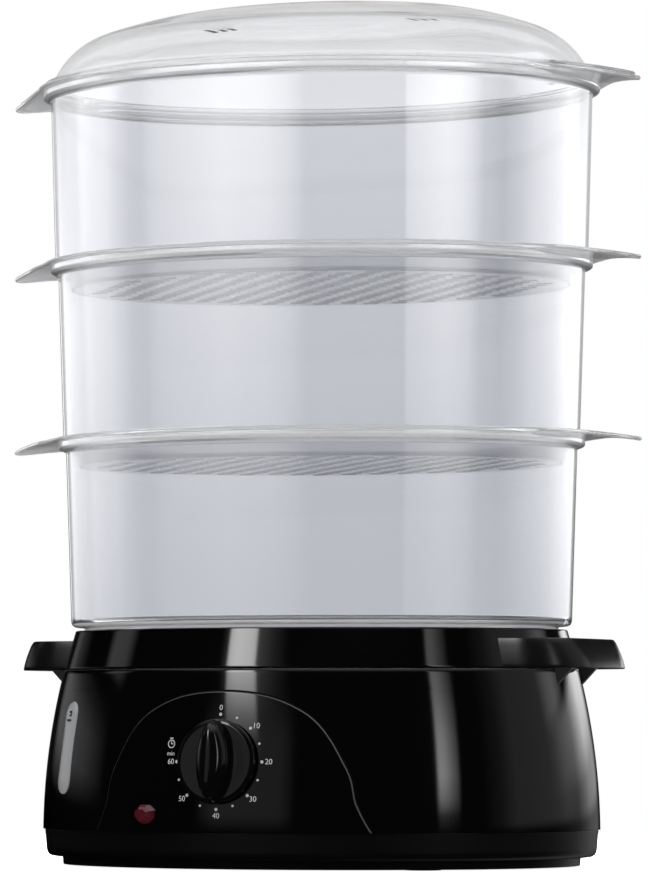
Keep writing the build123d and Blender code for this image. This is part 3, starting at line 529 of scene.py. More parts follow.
clear_lid = clear_moulding("clear_lid", (0.93, 0.935, 0.945), 0.0, 0.0, (0.62, 0.62, 0.64))
clear_rim = clear_moulding("clear_rim", (0.955, 0.96, 0.97), 0.0, 0.0, (0.86, 0.865, 0.88), 0.8)
EAR_TIP = 159.0
LID_FLANGE = 120.9
LID_FLANGE_BOTTOM = 360.7
LID_FLANGE_TOP = 362.3
LID_SKIRT_BOTTOM = 356.2
LID_TIP = EAR_TIP - 2.5
DOME_FOOT = 117.0
DOME_TOP = 395.7
DOME_FLAT = 28.0
CROWN_RADIUS = 194.2  # the dome's broad top arc in section
CROWN_TURN = radians(20.2)
BROW_RADIUS = 37.1  # the tighter arc that brings the dome down to the flange
DOME_STEPS = 16
LID_WALL = 2.0
CROWN_Z = DOME_TOP - CROWN_RADIUS
BROW_R = DOME_FLAT + (CROWN_RADIUS - BROW_RADIUS) * sin(CROWN_TURN)
BROW_Z = CROWN_Z + (CROWN_RADIUS - BROW_RADIUS) * cos(CROWN_TURN)


def dome_line(thickness):
    """Section of one side of the dome as (mean radius, height), from its foot up to the flat middle."""
    brow = BROW_RADIUS - thickness
    crown = CROWN_RADIUS - thickness
    foot = acos((LID_FLANGE_TOP - BROW_Z) / brow)
    turns = [foot + (CROWN_TURN - foot) * i / DOME_STEPS for i in range(DOME_STEPS)]
    line = [(BROW_R + brow * sin(turn), BROW_Z + brow * cos(turn)) for turn in turns]
    turns = [CROWN_TURN * (1 - i / DOME_STEPS) for i in range(DOME_STEPS + 1)]
    return line + [(DOME_FLAT + crown * sin(turn), CROWN_Z + crown * cos(turn)) for turn in turns]


def dome_rows(thickness):
    """Rows of the dome from its foot up, and on over the flat middle to the crown."""
    rows = [oval_row(radius, height) for radius, height in dome_line(thickness)]
    flat = rows[-1]
    return rows + [[(x * part, y * part, z) for x, y, z in flat] for part in (0.7, 0.4, 0.15, 0.0)]


LID_EDGE = 0.75
LID_CORNER = 0.2
SKIRT_OUT = DOME_FOOT + 1.7
SKIRT_IN = DOME_FOOT - 0.2
FLANGE_END = DOME_FOOT + 1.9
dome_outside = dome_rows(0.0)
dome_inside = dome_rows(LID_WALL)
dome_foot = dome_line(0.0)[0][0]
flange_start = dome_foot + 0.5
flange_rows = [oval_row(flange_start, LID_FLANGE_TOP)] + eared_lip(
    LID_FLANGE, LID_TIP, LID_FLANGE_TOP, LID_FLANGE_BOTTOM, flange_start, FLANGE_END, LID_EDGE, LID_CORNER
)
skirt_rows = swept(
    (
        (SKIRT_OUT, LID_FLANGE_BOTTOM - 0.3, 0),
        (SKIRT_OUT, LID_SKIRT_BOTTOM, 0.5),
        (SKIRT_IN, LID_SKIRT_BOTTOM, 0.5),
        (DOME_FOOT - LID_WALL - 0.3, LID_FLANGE_BOTTOM, 0.6),
        (*dome_line(LID_WALL)[0], 0),
    )
)
lid = moulded("lid_clear", clear_lid, dome_outside[::-1] + flange_rows + skirt_rows, dome_inside)
VENT_X = 52.0
VENT_PITCH = 5.0
VENT_SIZE = (2.2, 12.0)
VENT_REACH = (DOME_TOP - 20, DOME_TOP + 10)
for side in (-1, 1):
    for step in (-1, 0, 1):
        middle = side * VENT_X + step * VENT_PITCH
        corners = [(middle + a * VENT_SIZE[0] / 2, b * VENT_SIZE[1] / 2) for a, b in SQUARE]
        low, high = [[(x, y, z) for x, y in corners] for z in VENT_REACH]
        cut(lid, prism("vent", clear_lid, low, high))
lid.data.set_sharp_from_angle(angle=radians(32))
second_finish(lid, clear_rim, lambda radius, z: radius > dome_foot + 0.2 or z < LID_FLANGE_TOP - 1)
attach(lid, "lid")
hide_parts("lid")

# ---------------------------------------------------------------------------------------------
# Steam baskets: three clear tubs that taper down to a stepped foot, each with a collar and an eared
# lip that take the foot of the next. Steam comes up through slots moulded in the floor.
# ---------------------------------------------------------------------------------------------
BASKETS = (
    ("basket_top", 117.6, 115.3, 275.0, 360.4),
    ("basket_middle", 114.0, 111.3, 192.9, 279.3),
    ("basket_bottom", 110.2, 107.5, 109.6, 197.2),
)
WALL = 1.8
FOOT_INSET = 7.0
FOOT_DEPTH = 8.8
COLLAR_REACH = 3.6
SEAT_DEPTH = 4.6
LIP_REACH = 6.0
LIP_THICKNESS = 1.9
LIP_EDGE = 0.9
LIP_CORNER = 0.25
FOOT_STEP = 1.0  # the foot widens this much up to the shoulder
SEAT_EASE = 0.4
FLOOR_INSET = 0.9  # the floor ends inside the foot's wall
RIM_DEPTH = 2.5  # the pale rim starts this far under the seat
PALE_FOOT = 2.0  # and the pale foot ends this far over the shoulder
FIELD_MARGINS = (10.0, 6.0)  # plain floor round the slots, at the ends and the sides
SLOT_PITCH = (15.0, 9.0)
SLOT_SIZE = (8.0, 2.4)


def slotted_plate_tree(finish, rail_finish=None):
    """A plate inside a given outline, with staggered rows of slots, each railed if rails have a finish."""
    tree = bpy.data.node_groups.new("slotted_plate", "GeometryNodeTree")
    tree.interface.new_socket("Geometry", in_out="INPUT", socket_type="NodeSocketGeometry")
    for name, value in (
        ("Pitch X", 0.015),
        ("Pitch Y", 0.009),
        ("Slot Length", 0.008),
        ("Slot Width", 0.0024),
        ("Field Half Length", 0.1),
        ("Field Half Width", 0.08),
        ("Thickness", 0.0018),
        ("Bottom", 0.0),
        ("Rail", 0.0006),
    ):
        tree.interface.new_socket(name, in_out="INPUT", socket_type="NodeSocketFloat").default_value = value
    tree.interface.new_socket("Geometry", in_out="OUTPUT", socket_type="NodeSocketGeometry")
    size = tree.nodes.new("NodeGroupInput").outputs
    result = tree.nodes.new("NodeGroupOutput")

    def step(kind, inputs=(), **settings):
        return add_node(tree, "GeometryNode" + kind, inputs, **settings).outputs[0]

    def maths(operation, first, second=0.0):
        return add_node(tree, "Math", {0: first, 1: second}, operation=operation).outputs[0]

    def together(*parts):
        join = add_node(tree, "GeometryNodeJoinGeometry")
        for part in parts:
            tree.links.new(part, join.inputs[0])
        return join.outputs[0]

    def upward(amount, aside=0.0):
        return add_node(tree, "CombineXYZ", {"X": aside, "Z": amount}).outputs[0]

    def share_squared(place, half):
        return maths("POWER", maths("ABSOLUTE", maths("DIVIDE", place, size[half])), 2.0)

    COLUMNS, ROWS = 17, 23
    grid = step(
        "MeshGrid",
        {
            "Size X": maths("MULTIPLY", size["Pitch X"], COLUMNS - 1),
            "Size Y": maths("MULTIPLY", size["Pitch Y"], ROWS - 1),
            "Vertices X": COLUMNS,
            "Vertices Y": ROWS,
        },
    )
    spot = add_node(tree, "SeparateXYZ", {0: step("InputPosition")}).outputs
    line = maths("ROUND", maths("DIVIDE", spot["Y"], size["Pitch Y"]))
    odd = maths("MODULO", maths("ABSOLUTE", line), 2.0)
    slide = maths("MULTIPLY", maths("MULTIPLY", odd, size["Pitch X"]), 0.5)
    staggered = step("SetPosition", {"Geometry": grid, "Offset": upward(size["Bottom"], slide)})
    along = share_squared(spot["X"], "Field Half Length")
    out = maths("ADD", along, share_squared(spot["Y"], "Field Half Width"))
    outside = add_node(tree, "FunctionNodeCompare", {0: out, 1: 1.0}, operation="GREATER_THAN").outputs[0]
    kept = step("DeleteGeometry", {"Geometry": staggered, "Selection": outside}, domain="POINT")
    points = step("MeshToPoints", {"Mesh": kept})
    box = step("CurvePrimitiveQuadrilateral", {"Width": size["Slot Length"], "Height": size["Slot Width"]})
    radius = maths("MULTIPLY", size["Slot Width"], 0.49)
    rounding = {"Curve": box, "Count": 3, "Radius": radius, "Limit Radius": True}
    slot = step("FilletCurve", rounding, mode="POLY")
    spread = step("InstanceOnPoints", {"Points": points, "Instance": slot})
    slots = step("RealizeInstances", {"Geometry": spread})
    rim = step("MeshToCurve", {"Mesh": size["Geometry"]})
    flat = step("FillCurve", {"Curve": together(rim, slots)}, mode="TRIANGLES")
    sheet = step("SetPosition", {"Geometry": flat, "Offset": upward(size["Bottom"])})
    thick = {"Mesh": sheet, "Offset": upward(size["Thickness"]), "Offset Scale": 1.0, "Individual": False}
    raised = step("ExtrudeMesh", thick, mode="FACES")
    both = together(raised, step("FlipFaces", {"Mesh": sheet}))
    solid = step("MergeByDistance", {"Geometry": both, "Distance": 1e-6})
    whole = step("SetMaterial", {"Geometry": solid, "Material": finish})
    if rail_finish:
        section = step("CurvePrimitiveQuadrilateral", {"Width": 0.0004, "Height": size["Rail"]})
        rails = step("CurveToMesh", {"Curve": slots, "Profile Curve": section})
        whole = together(step("SetMaterial", {"Geometry": rails, "Material": rail_finish}), whole)
    tree.links.new(whole, result.inputs[0])
    return tree


def grown(name, mesh, tree, **sizes):
    """The plain mesh that a geometry tree makes from a start mesh, as a new piece."""
    start = placed(name, mesh)
    step = start.modifiers.new("grow", "NODES")
    step.node_group = tree
    for item in tree.interface.items_tree:
        size = item.name.replace(" ", "_").lower()
        if item.in_out == "INPUT" and size in sizes:
            step[item.identifier] = sizes[size]
    done = settled_mesh(start)
    start.modifiers.clear()
    start.data = done
    done.name = name
    return start


def outline_mesh(name, row):
    """A closed line of points as a mesh of edges."""
    mesh = bpy.data.meshes.new(name)
    points = [(x * MM, y * MM, z * MM) for x, y, z in row[:-1]]
    mesh.from_pydata(points, [(i, (i + 1) % len(points)) for i in range(len(points))], [])
    return mesh


def joined(name, *pieces):
    """Several pieces as one mesh that keeps their finishes."""
    finishes = []
    shape = bmesh.new()
    for piece in pieces:
        places = []
        for finish in piece.data.materials:
            if finish not in finishes:
                finishes.append(finish)
            places.append(finishes.index(finish))
        for face in piece.data.polygons:
            face.material_index = places[face.material_index]
        shape.from_mesh(piece.data)
    for piece in pieces:
        bpy.data.objects.remove(piece)
    return finished(name, shape, finishes, 32)


clear_basket = clear_moulding("clear_basket", (0.69, 0.70, 0.735), 0.0, 0.0, (0.50, 0.51, 0.53))
clear_foot = clear_moulding("clear_foot", (0.93, 0.935, 0.945), 0.0, 0.0, (0.84, 0.84, 0.85), 0.6)
clear_floor = clear_moulding("clear_floor", (0.97, 0.97, 0.975), 0.1, 0.22, (0.95, 0.95, 0.955), 0.7)
slot_edge = clear_moulding("slot_edge", (0.93, 0.93, 0.94), 0.1, 0.2, (0.88, 0.88, 0.89), 0.3)
plate_tree = slotted_plate_tree(clear_floor, slot_edge)

for name, top_radius, bottom_radius, shoulder, lip in BASKETS:
    foot = bottom_radius - FOOT_INSET
    floor_bottom = shoulder - FOOT_DEPTH
    collar = top_radius + COLLAR_REACH
    seat = lip - SEAT_DEPTH
    lip_bottom = lip - LIP_THICKNESS
    edge = top_radius + LIP_REACH
    wall_outside = swept(
        (
            (foot - WALL, floor_bottom, 0),
            (foot, floor_bottom, 0.9),
            (foot + FOOT_STEP, shoulder, 0.8),
            (bottom_radius, shoulder, 3.0),
            (top_radius, seat - WALL, 1.2),
            (collar, seat - SEAT_EASE, 1.4),
            (collar, lip_bottom, 0),
        )
    )
    lip_rows = eared_lip(
        edge, EAR_TIP, lip_bottom, lip, collar, collar - WALL + SEAT_EASE, LIP_EDGE, LIP_CORNER
    )
    wall_inside = swept(
        (
            (collar - WALL, lip - SEAT_EASE, 0),
            (collar - WALL, seat, 0.5),
            (top_radius - WALL, seat, 0.6),
            (bottom_radius - WALL, shoulder + WALL, 2.0),
            (foot + FOOT_STEP - WALL, shoulder + WALL, 0.8),
            (foot - WALL, floor_bottom, 0),
        )
    )
    tub = moulded(name + "_wall", clear_basket, wall_outside + lip_rows + wall_inside)
    second_finish(tub, clear_rim, lambda radius, z: z > seat - RIM_DEPTH)
    second_finish(tub, clear_foot, lambda radius, z: z < shoulder + PALE_FOOT)
    plate = grown(
        name + "_floor",
        outline_mesh(name + "_floor", oval_row(foot - FLOOR_INSET, floor_bottom)),
        plate_tree,
        pitch_x=SLOT_PITCH[0] * MM,
        pitch_y=SLOT_PITCH[1] * MM,
        slot_length=SLOT_SIZE[0] * MM,
        slot_width=SLOT_SIZE[1] * MM,
        field_half_length=(foot + OVAL_EXCESS - FIELD_MARGINS[0]) * MM,
        field_half_width=(foot - OVAL_EXCESS - FIELD_MARGINS[1]) * MM,
        thickness=WALL * MM,
        bottom=floor_bottom * MM,
    )
    basket = joined(name + "_clear", tub, plate)
    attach(basket, name)
    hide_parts(name)

# ---------------------------------------------------------------------------------------------
# Drip tray: the glossy black ring under the baskets, with a grip across each end, and the bowl that
# hangs in the water tank round a steam chimney.
# ---------------------------------------------------------------------------------------------
def black_moulding(name, base, roughness, grain, grain_depth):
    """Black plastic: moulded skin with a fine grain, and gloss that varies a little over it."""
    finish, tree, shader = blank_finish(name)
    place = add_node(tree, "TexCoord").outputs["Object"]
    smear = noise(tree, place, 9.0, 2.0)
    dark = (base * 0.85, base * 0.85, base * 0.88, 1)
    light = (base * 1.15,) * 3 + (1,)
    inputs = {
        "Base Color": mixed(tree, "MIX", dark, light, smear),
        "Roughness": between(tree, smear, roughness * 0.8, roughness * 1.25),
        "Normal": relief(tree, noise(tree, place, grain, 2.0), 0.25, grain_depth),
        "IOR": 1.5,
    }
    feed(tree, shader, inputs)
    return finish


gloss_black = black_moulding("gloss_black", 0.0012, 0.05, 900.0, 0.00001)
satin_black = black_moulding("satin_black", 0.0015, 0.34, 2600.0, 0.00006)
grip_black = black_moulding("grip_black", 0.003, 0.26, 1800.0, 0.00004)
rib_black = black_moulding("rib_black", 0.013, 0.40, 2600.0, 0.00006)

TRAY_BOTTOM = 90.0
TRAY_TOP = 108.0
TRAY_FOOT = 110.7
TRAY_EDGE = 105.4
TRAY_WALL = 2.2
BOWL = 101.3
BOWL_MIDDLE = 70.0  # inside this the bowl's floor runs flat to the chimney
BOWL_WALL = 2.0
BOWL_BOTTOM = 80.0
BOWL_FLOOR = 82.0
CHIMNEY = 34.0
CHIMNEY_TOP = 99.5
FIN_TOP = 100.5
GRIP_REACH = 143.0
GRIP_HALF_WIDTH = 43.0
GRIP_CORNER = 28.0
GRIP_TOP = 103.4
GRIP_SLOPE = radians(27)
GRIP_WALL = 2.4
GRIP_SIDE_SHARE = 0.25  # the grip's two sides lean less than its end
GRIP_ROOTS = (100.0, 110.0)
CORE_INSET = 1.2  # the grips end inside the ring's wall, half way through it
CORE_SPREAD = 0.3
GRIP_STEPS = 12
CHIMNEY_WALL = 2.2
CHIMNEY_CORNER = 0.5

ring_rows = swept(
    (
        (BOWL_MIDDLE, BOWL_BOTTOM, 0),
        (BOWL, BOWL_BOTTOM, 1.5),
        (BOWL, TRAY_BOTTOM, 0.5),
        (TRAY_FOOT, TRAY_BOTTOM, 0.5),
        (TRAY_EDGE, TRAY_TOP, 0.8),
        (TRAY_EDGE - TRAY_WALL, TRAY_TOP, 0.8),
        (TRAY_FOOT - TRAY_WALL - 0.6, TRAY_BOTTOM + TRAY_WALL, 0.8),
        (BOWL - BOWL_WALL, TRAY_BOTTOM + TRAY_WALL, 1.0),
        (BOWL - BOWL_WALL, BOWL_FLOOR, 1.5),
        (BOWL_MIDDLE, BOWL_FLOOR, 0),
    )
)


def chimney_row(radius, height):
    """A circle with as many points as the ring's first row and the same headings, for a join."""
    headings = [atan2(y, x) for x, y, z in ring_rows[0]]
    return [(radius * cos(heading), radius * sin(heading), height) for heading in headings]


chimney_rows = [
    chimney_row(CHIMNEY, BOWL_FLOOR),
    chimney_row(CHIMNEY, CHIMNEY_TOP - CHIMNEY_CORNER),
    chimney_row(CHIMNEY - CHIMNEY_CORNER, CHIMNEY_TOP),
    chimney_row(CHIMNEY - CHIMNEY_WALL + CHIMNEY_CORNER, CHIMNEY_TOP),
    chimney_row(CHIMNEY - CHIMNEY_WALL, CHIMNEY_TOP - CHIMNEY_CORNER),
    chimney_row(CHIMNEY - CHIMNEY_WALL, BOWL_BOTTOM),
]
tray_ring = moulded("tray_ring", gloss_black, ring_rows + chimney_rows + [ring_rows[0]])


def tongue_row(inset, height):
    """Plan of one grip at a level: a rounded tongue that starts inside the ring."""
    half = GRIP_HALF_WIDTH - GRIP_SIDE_SHARE * inset
    reach = GRIP_REACH - inset
    corner = GRIP_CORNER - inset
    row = [(x, -half, height) for x in GRIP_ROOTS]
    for side, start in ((-1, -90), (1, 0)):
        for i in range(GRIP_STEPS + 1):
            turn = radians(start + 90 * i / GRIP_STEPS)
            x = reach - corner + corner * cos(turn)
            row.append((x, side * (half - corner) + corner * sin(turn), height))
    row += [(x, half, height) for x in reversed(GRIP_ROOTS)]
    return row + row[:1]


GRIP_RISE = GRIP_TOP - TRAY_BOTTOM
GRIP_BEND = 1.45  # the grip's side leans in more and more on its way up
GRIP_LEAN = GRIP_RISE * tan(GRIP_SLOPE)
tongue_outside = [tongue_row(0.5, TRAY_BOTTOM), tongue_row(0.0, TRAY_BOTTOM + 0.5)]
GRIP_LEVELS = (0.15, 0.3, 0.45, 0.6, 0.75, 0.88)
for share in GRIP_LEVELS:
    tongue_outside.append(tongue_row(GRIP_LEAN * share**GRIP_BEND, TRAY_BOTTOM + GRIP_RISE * share))
tongue_outside += [
    tongue_row(GRIP_LEAN * 0.96, GRIP_TOP - 0.75),
    tongue_row(GRIP_LEAN + 0.4, GRIP_TOP - 0.2),
    tongue_row(GRIP_LEAN + 1.5, GRIP_TOP),
    tongue_row(GRIP_LEAN + 3.0, GRIP_TOP),
]
INNER_RISE = GRIP_RISE - GRIP_WALL
tongue_inside = [
    tongue_row(GRIP_WALL + INNER_RISE * tan(GRIP_SLOPE), TRAY_BOTTOM + INNER_RISE),
    tongue_row(GRIP_WALL, TRAY_BOTTOM),
    tongue_outside[0],
]


def mirrored(row):
    """The same row on the left of the steamer."""
    return [(-x, y, z) for x, y, z in row]


core_low = oval_row(TRAY_FOOT - CORE_INSET + CORE_SPREAD, TRAY_BOTTOM - 1)[:-1]
core_high = oval_row(TRAY_EDGE - CORE_INSET - CORE_SPREAD, TRAY_TOP + 1)[:-1]
grips = []
for side in (1, -1):
    flip = mirrored if side < 0 else list
    outside = [flip(row) for row in tongue_outside]
    inside = [flip(row) for row in tongue_inside]
    tongue = moulded("grip", grip_black, outside, inside, caps=(outside[-1][:-1], inside[0][:-1]), sharp=50)
    core = prism("core", gloss_black, core_low, core_high)
    cut(tongue, core)
    grips.append(tongue)

RIB_Y = 14.0
RIB_HALF = 1.2
RIB_SECTION = ((124.6, 83.0), (123.1, 90.4), (118.4, 90.4), (117.6, 102.0), (129.0, 102.0), (131.5, 90.0))
ribs = []
for side_x in (1, -1):
    for side_y in (1, -1):
        near = [(side_x * x, side_y * (RIB_Y - RIB_HALF), z) for x, z in RIB_SECTION]
        far = [(side_x * x, side_y * (RIB_Y + RIB_HALF), z) for x, z in RIB_SECTION]
        ribs.append(prism("rib", rib_black, near, far))

FIN_SIZE = (9.0, 2.4)
FIN_COUNT = 8
FIN_RADIUS = BOWL - 5.5
fins = []
for k in range(FIN_COUNT):
    centre, shift, heading, ear = PLACES[k * (len(PLACES) - 1) // FIN_COUNT]
    out = Vector((cos(heading), sin(heading), 0))
    aside = Vector((-sin(heading), cos(heading), 0))
    middle = Vector((centre[0], centre[1], 0)) + out * (FIN_RADIUS + shift)
    ring = [middle + out * FIN_SIZE[0] / 2 * a + aside * FIN_SIZE[1] / 2 * b for a, b in SQUARE]
    low = [(p.x, p.y, BOWL_FLOOR - 0.5) for p in ring]
    high = [(p.x, p.y, FIN_TOP) for p in ring]
    fins.append(prism("fin", gloss_black, low, high))

drip_tray = joined("drip_tray_black", tray_ring, *grips, *ribs, *fins)
drip_tray.visible_glossy = False  # or the grips would throw dark patches on the housing
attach(drip_tray, "drip_tray")
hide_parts("drip_tray")

# ---------------------------------------------------------------------------------------------
# Base housing: the flared glossy black wall, open at the front for the control panel, with the
# ledge inside that the water tank hangs on.
# ---------------------------------------------------------------------------------------------
HOUSING_BOTTOM = 17.0
HOUSING_TOP = 89.7
HOUSING_FLARE = 308.0
HOUSING_WIDEST = 120.3
HOUSING_WIDEST_Z = 14.0
HOUSING_WALL = 2.4
LEDGE_TOP = 84.0
LEDGE_RADIUS = 105.6
PANEL_GAP = 0.3
SEAM_CHAMFER = 0.45
BELL_CORNERS = ((0, 79.8), (38.0, 70.8), (57.5, 46.0), (62.5, 29.0), (68.5, HOUSING_BOTTOM))
BELL_TANGENTS = ((52.0, 0.0), (31.0, -18.0), (12.0, -22.0), (6.0, -14.0), (9.0, -16.0))
BELL_STEPS = 12


def housing_radius(height):
    """Mean radius of the housing's outside at a height."""
    return HOUSING_WIDEST - HOUSING_FLARE + sqrt(HOUSING_FLARE**2 - (height - HOUSING_WIDEST_Z) ** 2)


def bell_line(inset):
    """Right half of the control panel's outline from its top down, as (x, z), moved inward."""
    line = []
    for k in range(len(BELL_CORNERS) - 1):
        a, b = Vector(BELL_CORNERS[k]), Vector(BELL_CORNERS[k + 1])
        ta, tb = Vector(BELL_TANGENTS[k]), Vector(BELL_TANGENTS[k + 1])
        for i in range(BELL_STEPS + (k == len(BELL_CORNERS) - 2)):
            t = i / BELL_STEPS
            spot = a * (2 * t**3 - 3 * t**2 + 1) + ta * (t**3 - 2 * t**2 + t)
            spot = spot + b * (3 * t**2 - 2 * t**3) + tb * (t**3 - t**2)
            slope = a * (6 * t**2 - 6 * t) + ta * (3 * t**2 - 4 * t + 1)
            slope = (slope + b * (6 * t - 6 * t**2) + tb * (3 * t**2 - 2 * t)).normalized()
            line.append((max(0.0, spot.x + inset * slope.y), max(HOUSING_BOTTOM, spot.y - inset * slope.x)))
    line[0] = (0.0, BELL_CORNERS[0][1] - inset)
    line[-1] = (line[-1][0], HOUSING_BOTTOM)
    return line


def wall_lean(height):
    """How far the housing's outside leans back at a height."""
    return asin((height - HOUSING_WIDEST_Z) / HOUSING_FLARE)


def front_spot(x, height, depth=0.0):
    """The point of the housing's front at a place seen from the front, or at a depth behind it."""
    reach = housing_radius(height) + SIDE_SHIFT - depth
    return (x, SIDE_CENTRE - sqrt(reach**2 - x**2), height)


FRONT_COLUMNS = 26
END_COLUMNS = 44
BACK_COLUMNS = 44


def open_row(radius, height, gap):
    """A row round the oval from x = gap at the front to x = -gap, by the right end and the back."""
    reach = radius + SIDE_SHIFT
    start = asin(gap / reach)
    stop = pi / 2 - JOIN
    right = [start + (stop - start) * i / FRONT_COLUMNS for i in range(FRONT_COLUMNS)]
    row = [(reach * sin(turn), SIDE_CENTRE - reach * cos(turn), height) for turn in right]
    end = radius + END_SHIFT
    for i in range(END_COLUMNS):
        turn = -JOIN + 2 * JOIN * i / END_COLUMNS
        row.append((END_CENTRE + end * cos(turn), end * sin(turn), height))
    for i in range(BACK_COLUMNS + 1):
        turn = JOIN + (pi - 2 * JOIN) * i / BACK_COLUMNS
        row.append((reach * cos(turn), -SIDE_CENTRE + reach * sin(turn), height))
    front = [(-x, y, z) for x, y, z in row[: FRONT_COLUMNS + END_COLUMNS]]
    return row + front[::-1]


outer_edge = bell_line(-SEAM_CHAMFER)
lower_edge = bell_line(0.0)
outer_wall = [open_row(housing_radius(z), z, x) for x, z in reversed(outer_edge)]
TOP_ROUND = 0.8
TOP_STEPS = 8
bell_top = outer_edge[0][1]
wall_left = HOUSING_TOP - TOP_ROUND - bell_top
levels = [bell_top + wall_left * i / TOP_STEPS for i in range(1, TOP_STEPS + 1)]
outer_top = [open_row(housing_radius(z), z, 0.0) for z in levels]
rim_radius = housing_radius(HOUSING_TOP)
inner_radius = rim_radius - HOUSING_WALL
rim = [
    open_row(radius, height, 0.0)
    for radius, height in (
        (rim_radius - 0.2, HOUSING_TOP - 0.2),
        (rim_radius - TOP_ROUND, HOUSING_TOP),
        (inner_radius, HOUSING_TOP),
        (inner_radius + 0.4, LEDGE_TOP),
        (LEDGE_RADIUS, LEDGE_TOP),
        (LEDGE_RADIUS, LEDGE_TOP - 2),
        (housing_radius(lower_edge[0][1]) - HOUSING_WALL, lower_edge[0][1] + 0.4),
    )
]
inner_wall = [open_row(housing_radius(z) - HOUSING_WALL, z, x) for x, z in lower_edge]
right_lip = [
    [row[0] for row in outer_wall],
    [front_spot(x, z, SEAM_CHAMFER) for x, z in reversed(lower_edge)],
    [row[0] for row in reversed(inner_wall)],
]
left_lip = [mirrored(row) for row in right_lip]
housing = moulded(
    "housing_black",
    gloss_black,
    outer_wall + outer_top + rim + inner_wall,
    [outer_wall[0], inner_wall[-1]],
    right_lip,
    left_lip,
    sharp=28,
)
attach(housing, "base")
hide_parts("housing")

# ---------------------------------------------------------------------------------------------
# Control panel: a bell-shaped glossy black moulding let into the front of the housing behind a
# narrow seam. The knob and the lamp cover the holes of the real one, so it is made without them.
# ---------------------------------------------------------------------------------------------
panel_edge = bell_line(PANEL_GAP + SEAM_CHAMFER)
panel_lower = bell_line(PANEL_GAP)
PANEL_COLUMNS = 48


def across_front(x, height, depth=0.0):
    """A row over the front from x to -x at a height."""
    reach = housing_radius(height) + SIDE_SHIFT - depth
    turns = [asin(x / reach) * (1 - 2 * i / PANEL_COLUMNS) for i in range(PANEL_COLUMNS + 1)]
    return [(reach * sin(turn), SIDE_CENTRE - reach * cos(turn), height) for turn in turns]


panel_front = [across_front(x, z) for x, z in panel_edge]
panel_back = [across_front(x, z, HOUSING_WALL) for x, z in panel_lower]
panel_rim = [
    [row[0] for row in panel_front],
    [front_spot(x, z, SEAM_CHAMFER) for x, z in panel_lower],
    [row[0] for row in panel_back],
]


def plain_paint(name, colour, roughness, metallic=0.0, mottle=0.06, grain=300.0):
    """A simple finish whose tone and gloss wander a little over the piece."""
    finish, tree, shader = blank_finish(name)
    spots = noise(tree, add_node(tree, "TexCoord").outputs["Object"], grain, 3.0)
    dark = (*(channel * (1 - mottle) for channel in colour), 1)
    light = (*(min(1.0, channel * (1 + mottle)) for channel in colour), 1)
    inputs = {
        "Base Color": mixed(tree, "MIX", dark, light, spots),
        "Roughness": between(tree, spots, roughness * 0.85, min(1.0, roughness * 1.15)),
        "Normal": relief(tree, spots, 0.2, 0.00003),
        "Metallic": metallic,
    }
    feed(tree, shader, inputs)
    return finish


# The seam's chamfer is painted a pale grey, a painted highlight for the light that catches its edge on the
# black panel.
seam_edge = plain_paint("seam_edge", (0.05, 0.05, 0.052), 0.4)
control_panel = moulded(
    "control_panel_black",
    gloss_black,
    panel_front,
    panel_back,
    panel_rim,
    [mirrored(row) for row in panel_rim],
    [panel_front[-1], panel_back[-1]],
    sharp=28,
)
control_panel.data.materials.append(seam_edge)
SEAM_BAND = (0.05, 0.9 * SEAM_CHAMFER)  # depths of the chamfer's faces
# The chamfer's faces take the pale paint: a painted highlight along the seam.
for face in control_panel.data.polygons:
    middle = face.center / MM
    reach = sqrt(middle.x**2 + (SIDE_CENTRE - middle.y) ** 2)
    if SEAM_BAND[0] < housing_radius(middle.z) + SIDE_SHIFT - reach < SEAM_BAND[1]:
        face.material_index = 1
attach(control_panel, "base")
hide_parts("control_panel")


# ---------------------------------------------------------------------------------------------
# Dial scale: pale printing on the panel round the timer knob, thirteen dots from 0 to 60 minutes
# with a number at every ten.
# ---------------------------------------------------------------------------------------------
DIAL_Z = 48.3
DOT_CIRCLE = 21.0
INK = 0.06  # half the thickness of the printing
INK_LIFT = 0.02
CAPITAL = 0.72  # a capital's share of the size of its type
print_white = plain_paint("print_white", (0.40, 0.40, 0.41), 0.5)


def on_panel(x, height, lift):
    """A point on the panel, or that much in front of it."""
    return front_spot(x, height, -lift)


def flat_text(words, x, z, height):
    """Words as a flat mesh in the plane of the panel, centred on (x, z), in millimetres."""
    line = bpy.data.curves.new("words", "FONT")
    line.body = words
    line.size = height / CAPITAL
    line.align_x = "CENTER"
    line.align_y = "CENTER"
    line.extrude = INK
    line.resolution_u = 3
    holder = placed("words", line)
    mesh = settled_mesh(holder)
    bpy.data.objects.remove(holder)
    for vertex in mesh.vertices:
        vertex.co = (vertex.co.x + x, vertex.co.z, vertex.co.y + z)
    return mesh


def flat_dot(x, z, radius, sides=14):
    """A dot as a flat prism in the plane of the panel, in millimetres."""
    mesh = bpy.data.meshes.new("dot")
    turns = [2 * pi * i / sides for i in range(sides)]
    ring = [(x + radius * cos(turn), z + radius * sin(turn)) for turn in turns]
    points = [(a, -INK, b) for a, b in ring] + [(a, INK, b) for a, b in ring]
    faces = [tuple(range(sides)), tuple(range(2 * sides - 1, sides - 1, -1))]
    faces += [(i, sides + i, sides + (i + 1) % sides, (i + 1) % sides) for i in range(sides)]
    mesh.from_pydata(points, [], faces)
    return mesh


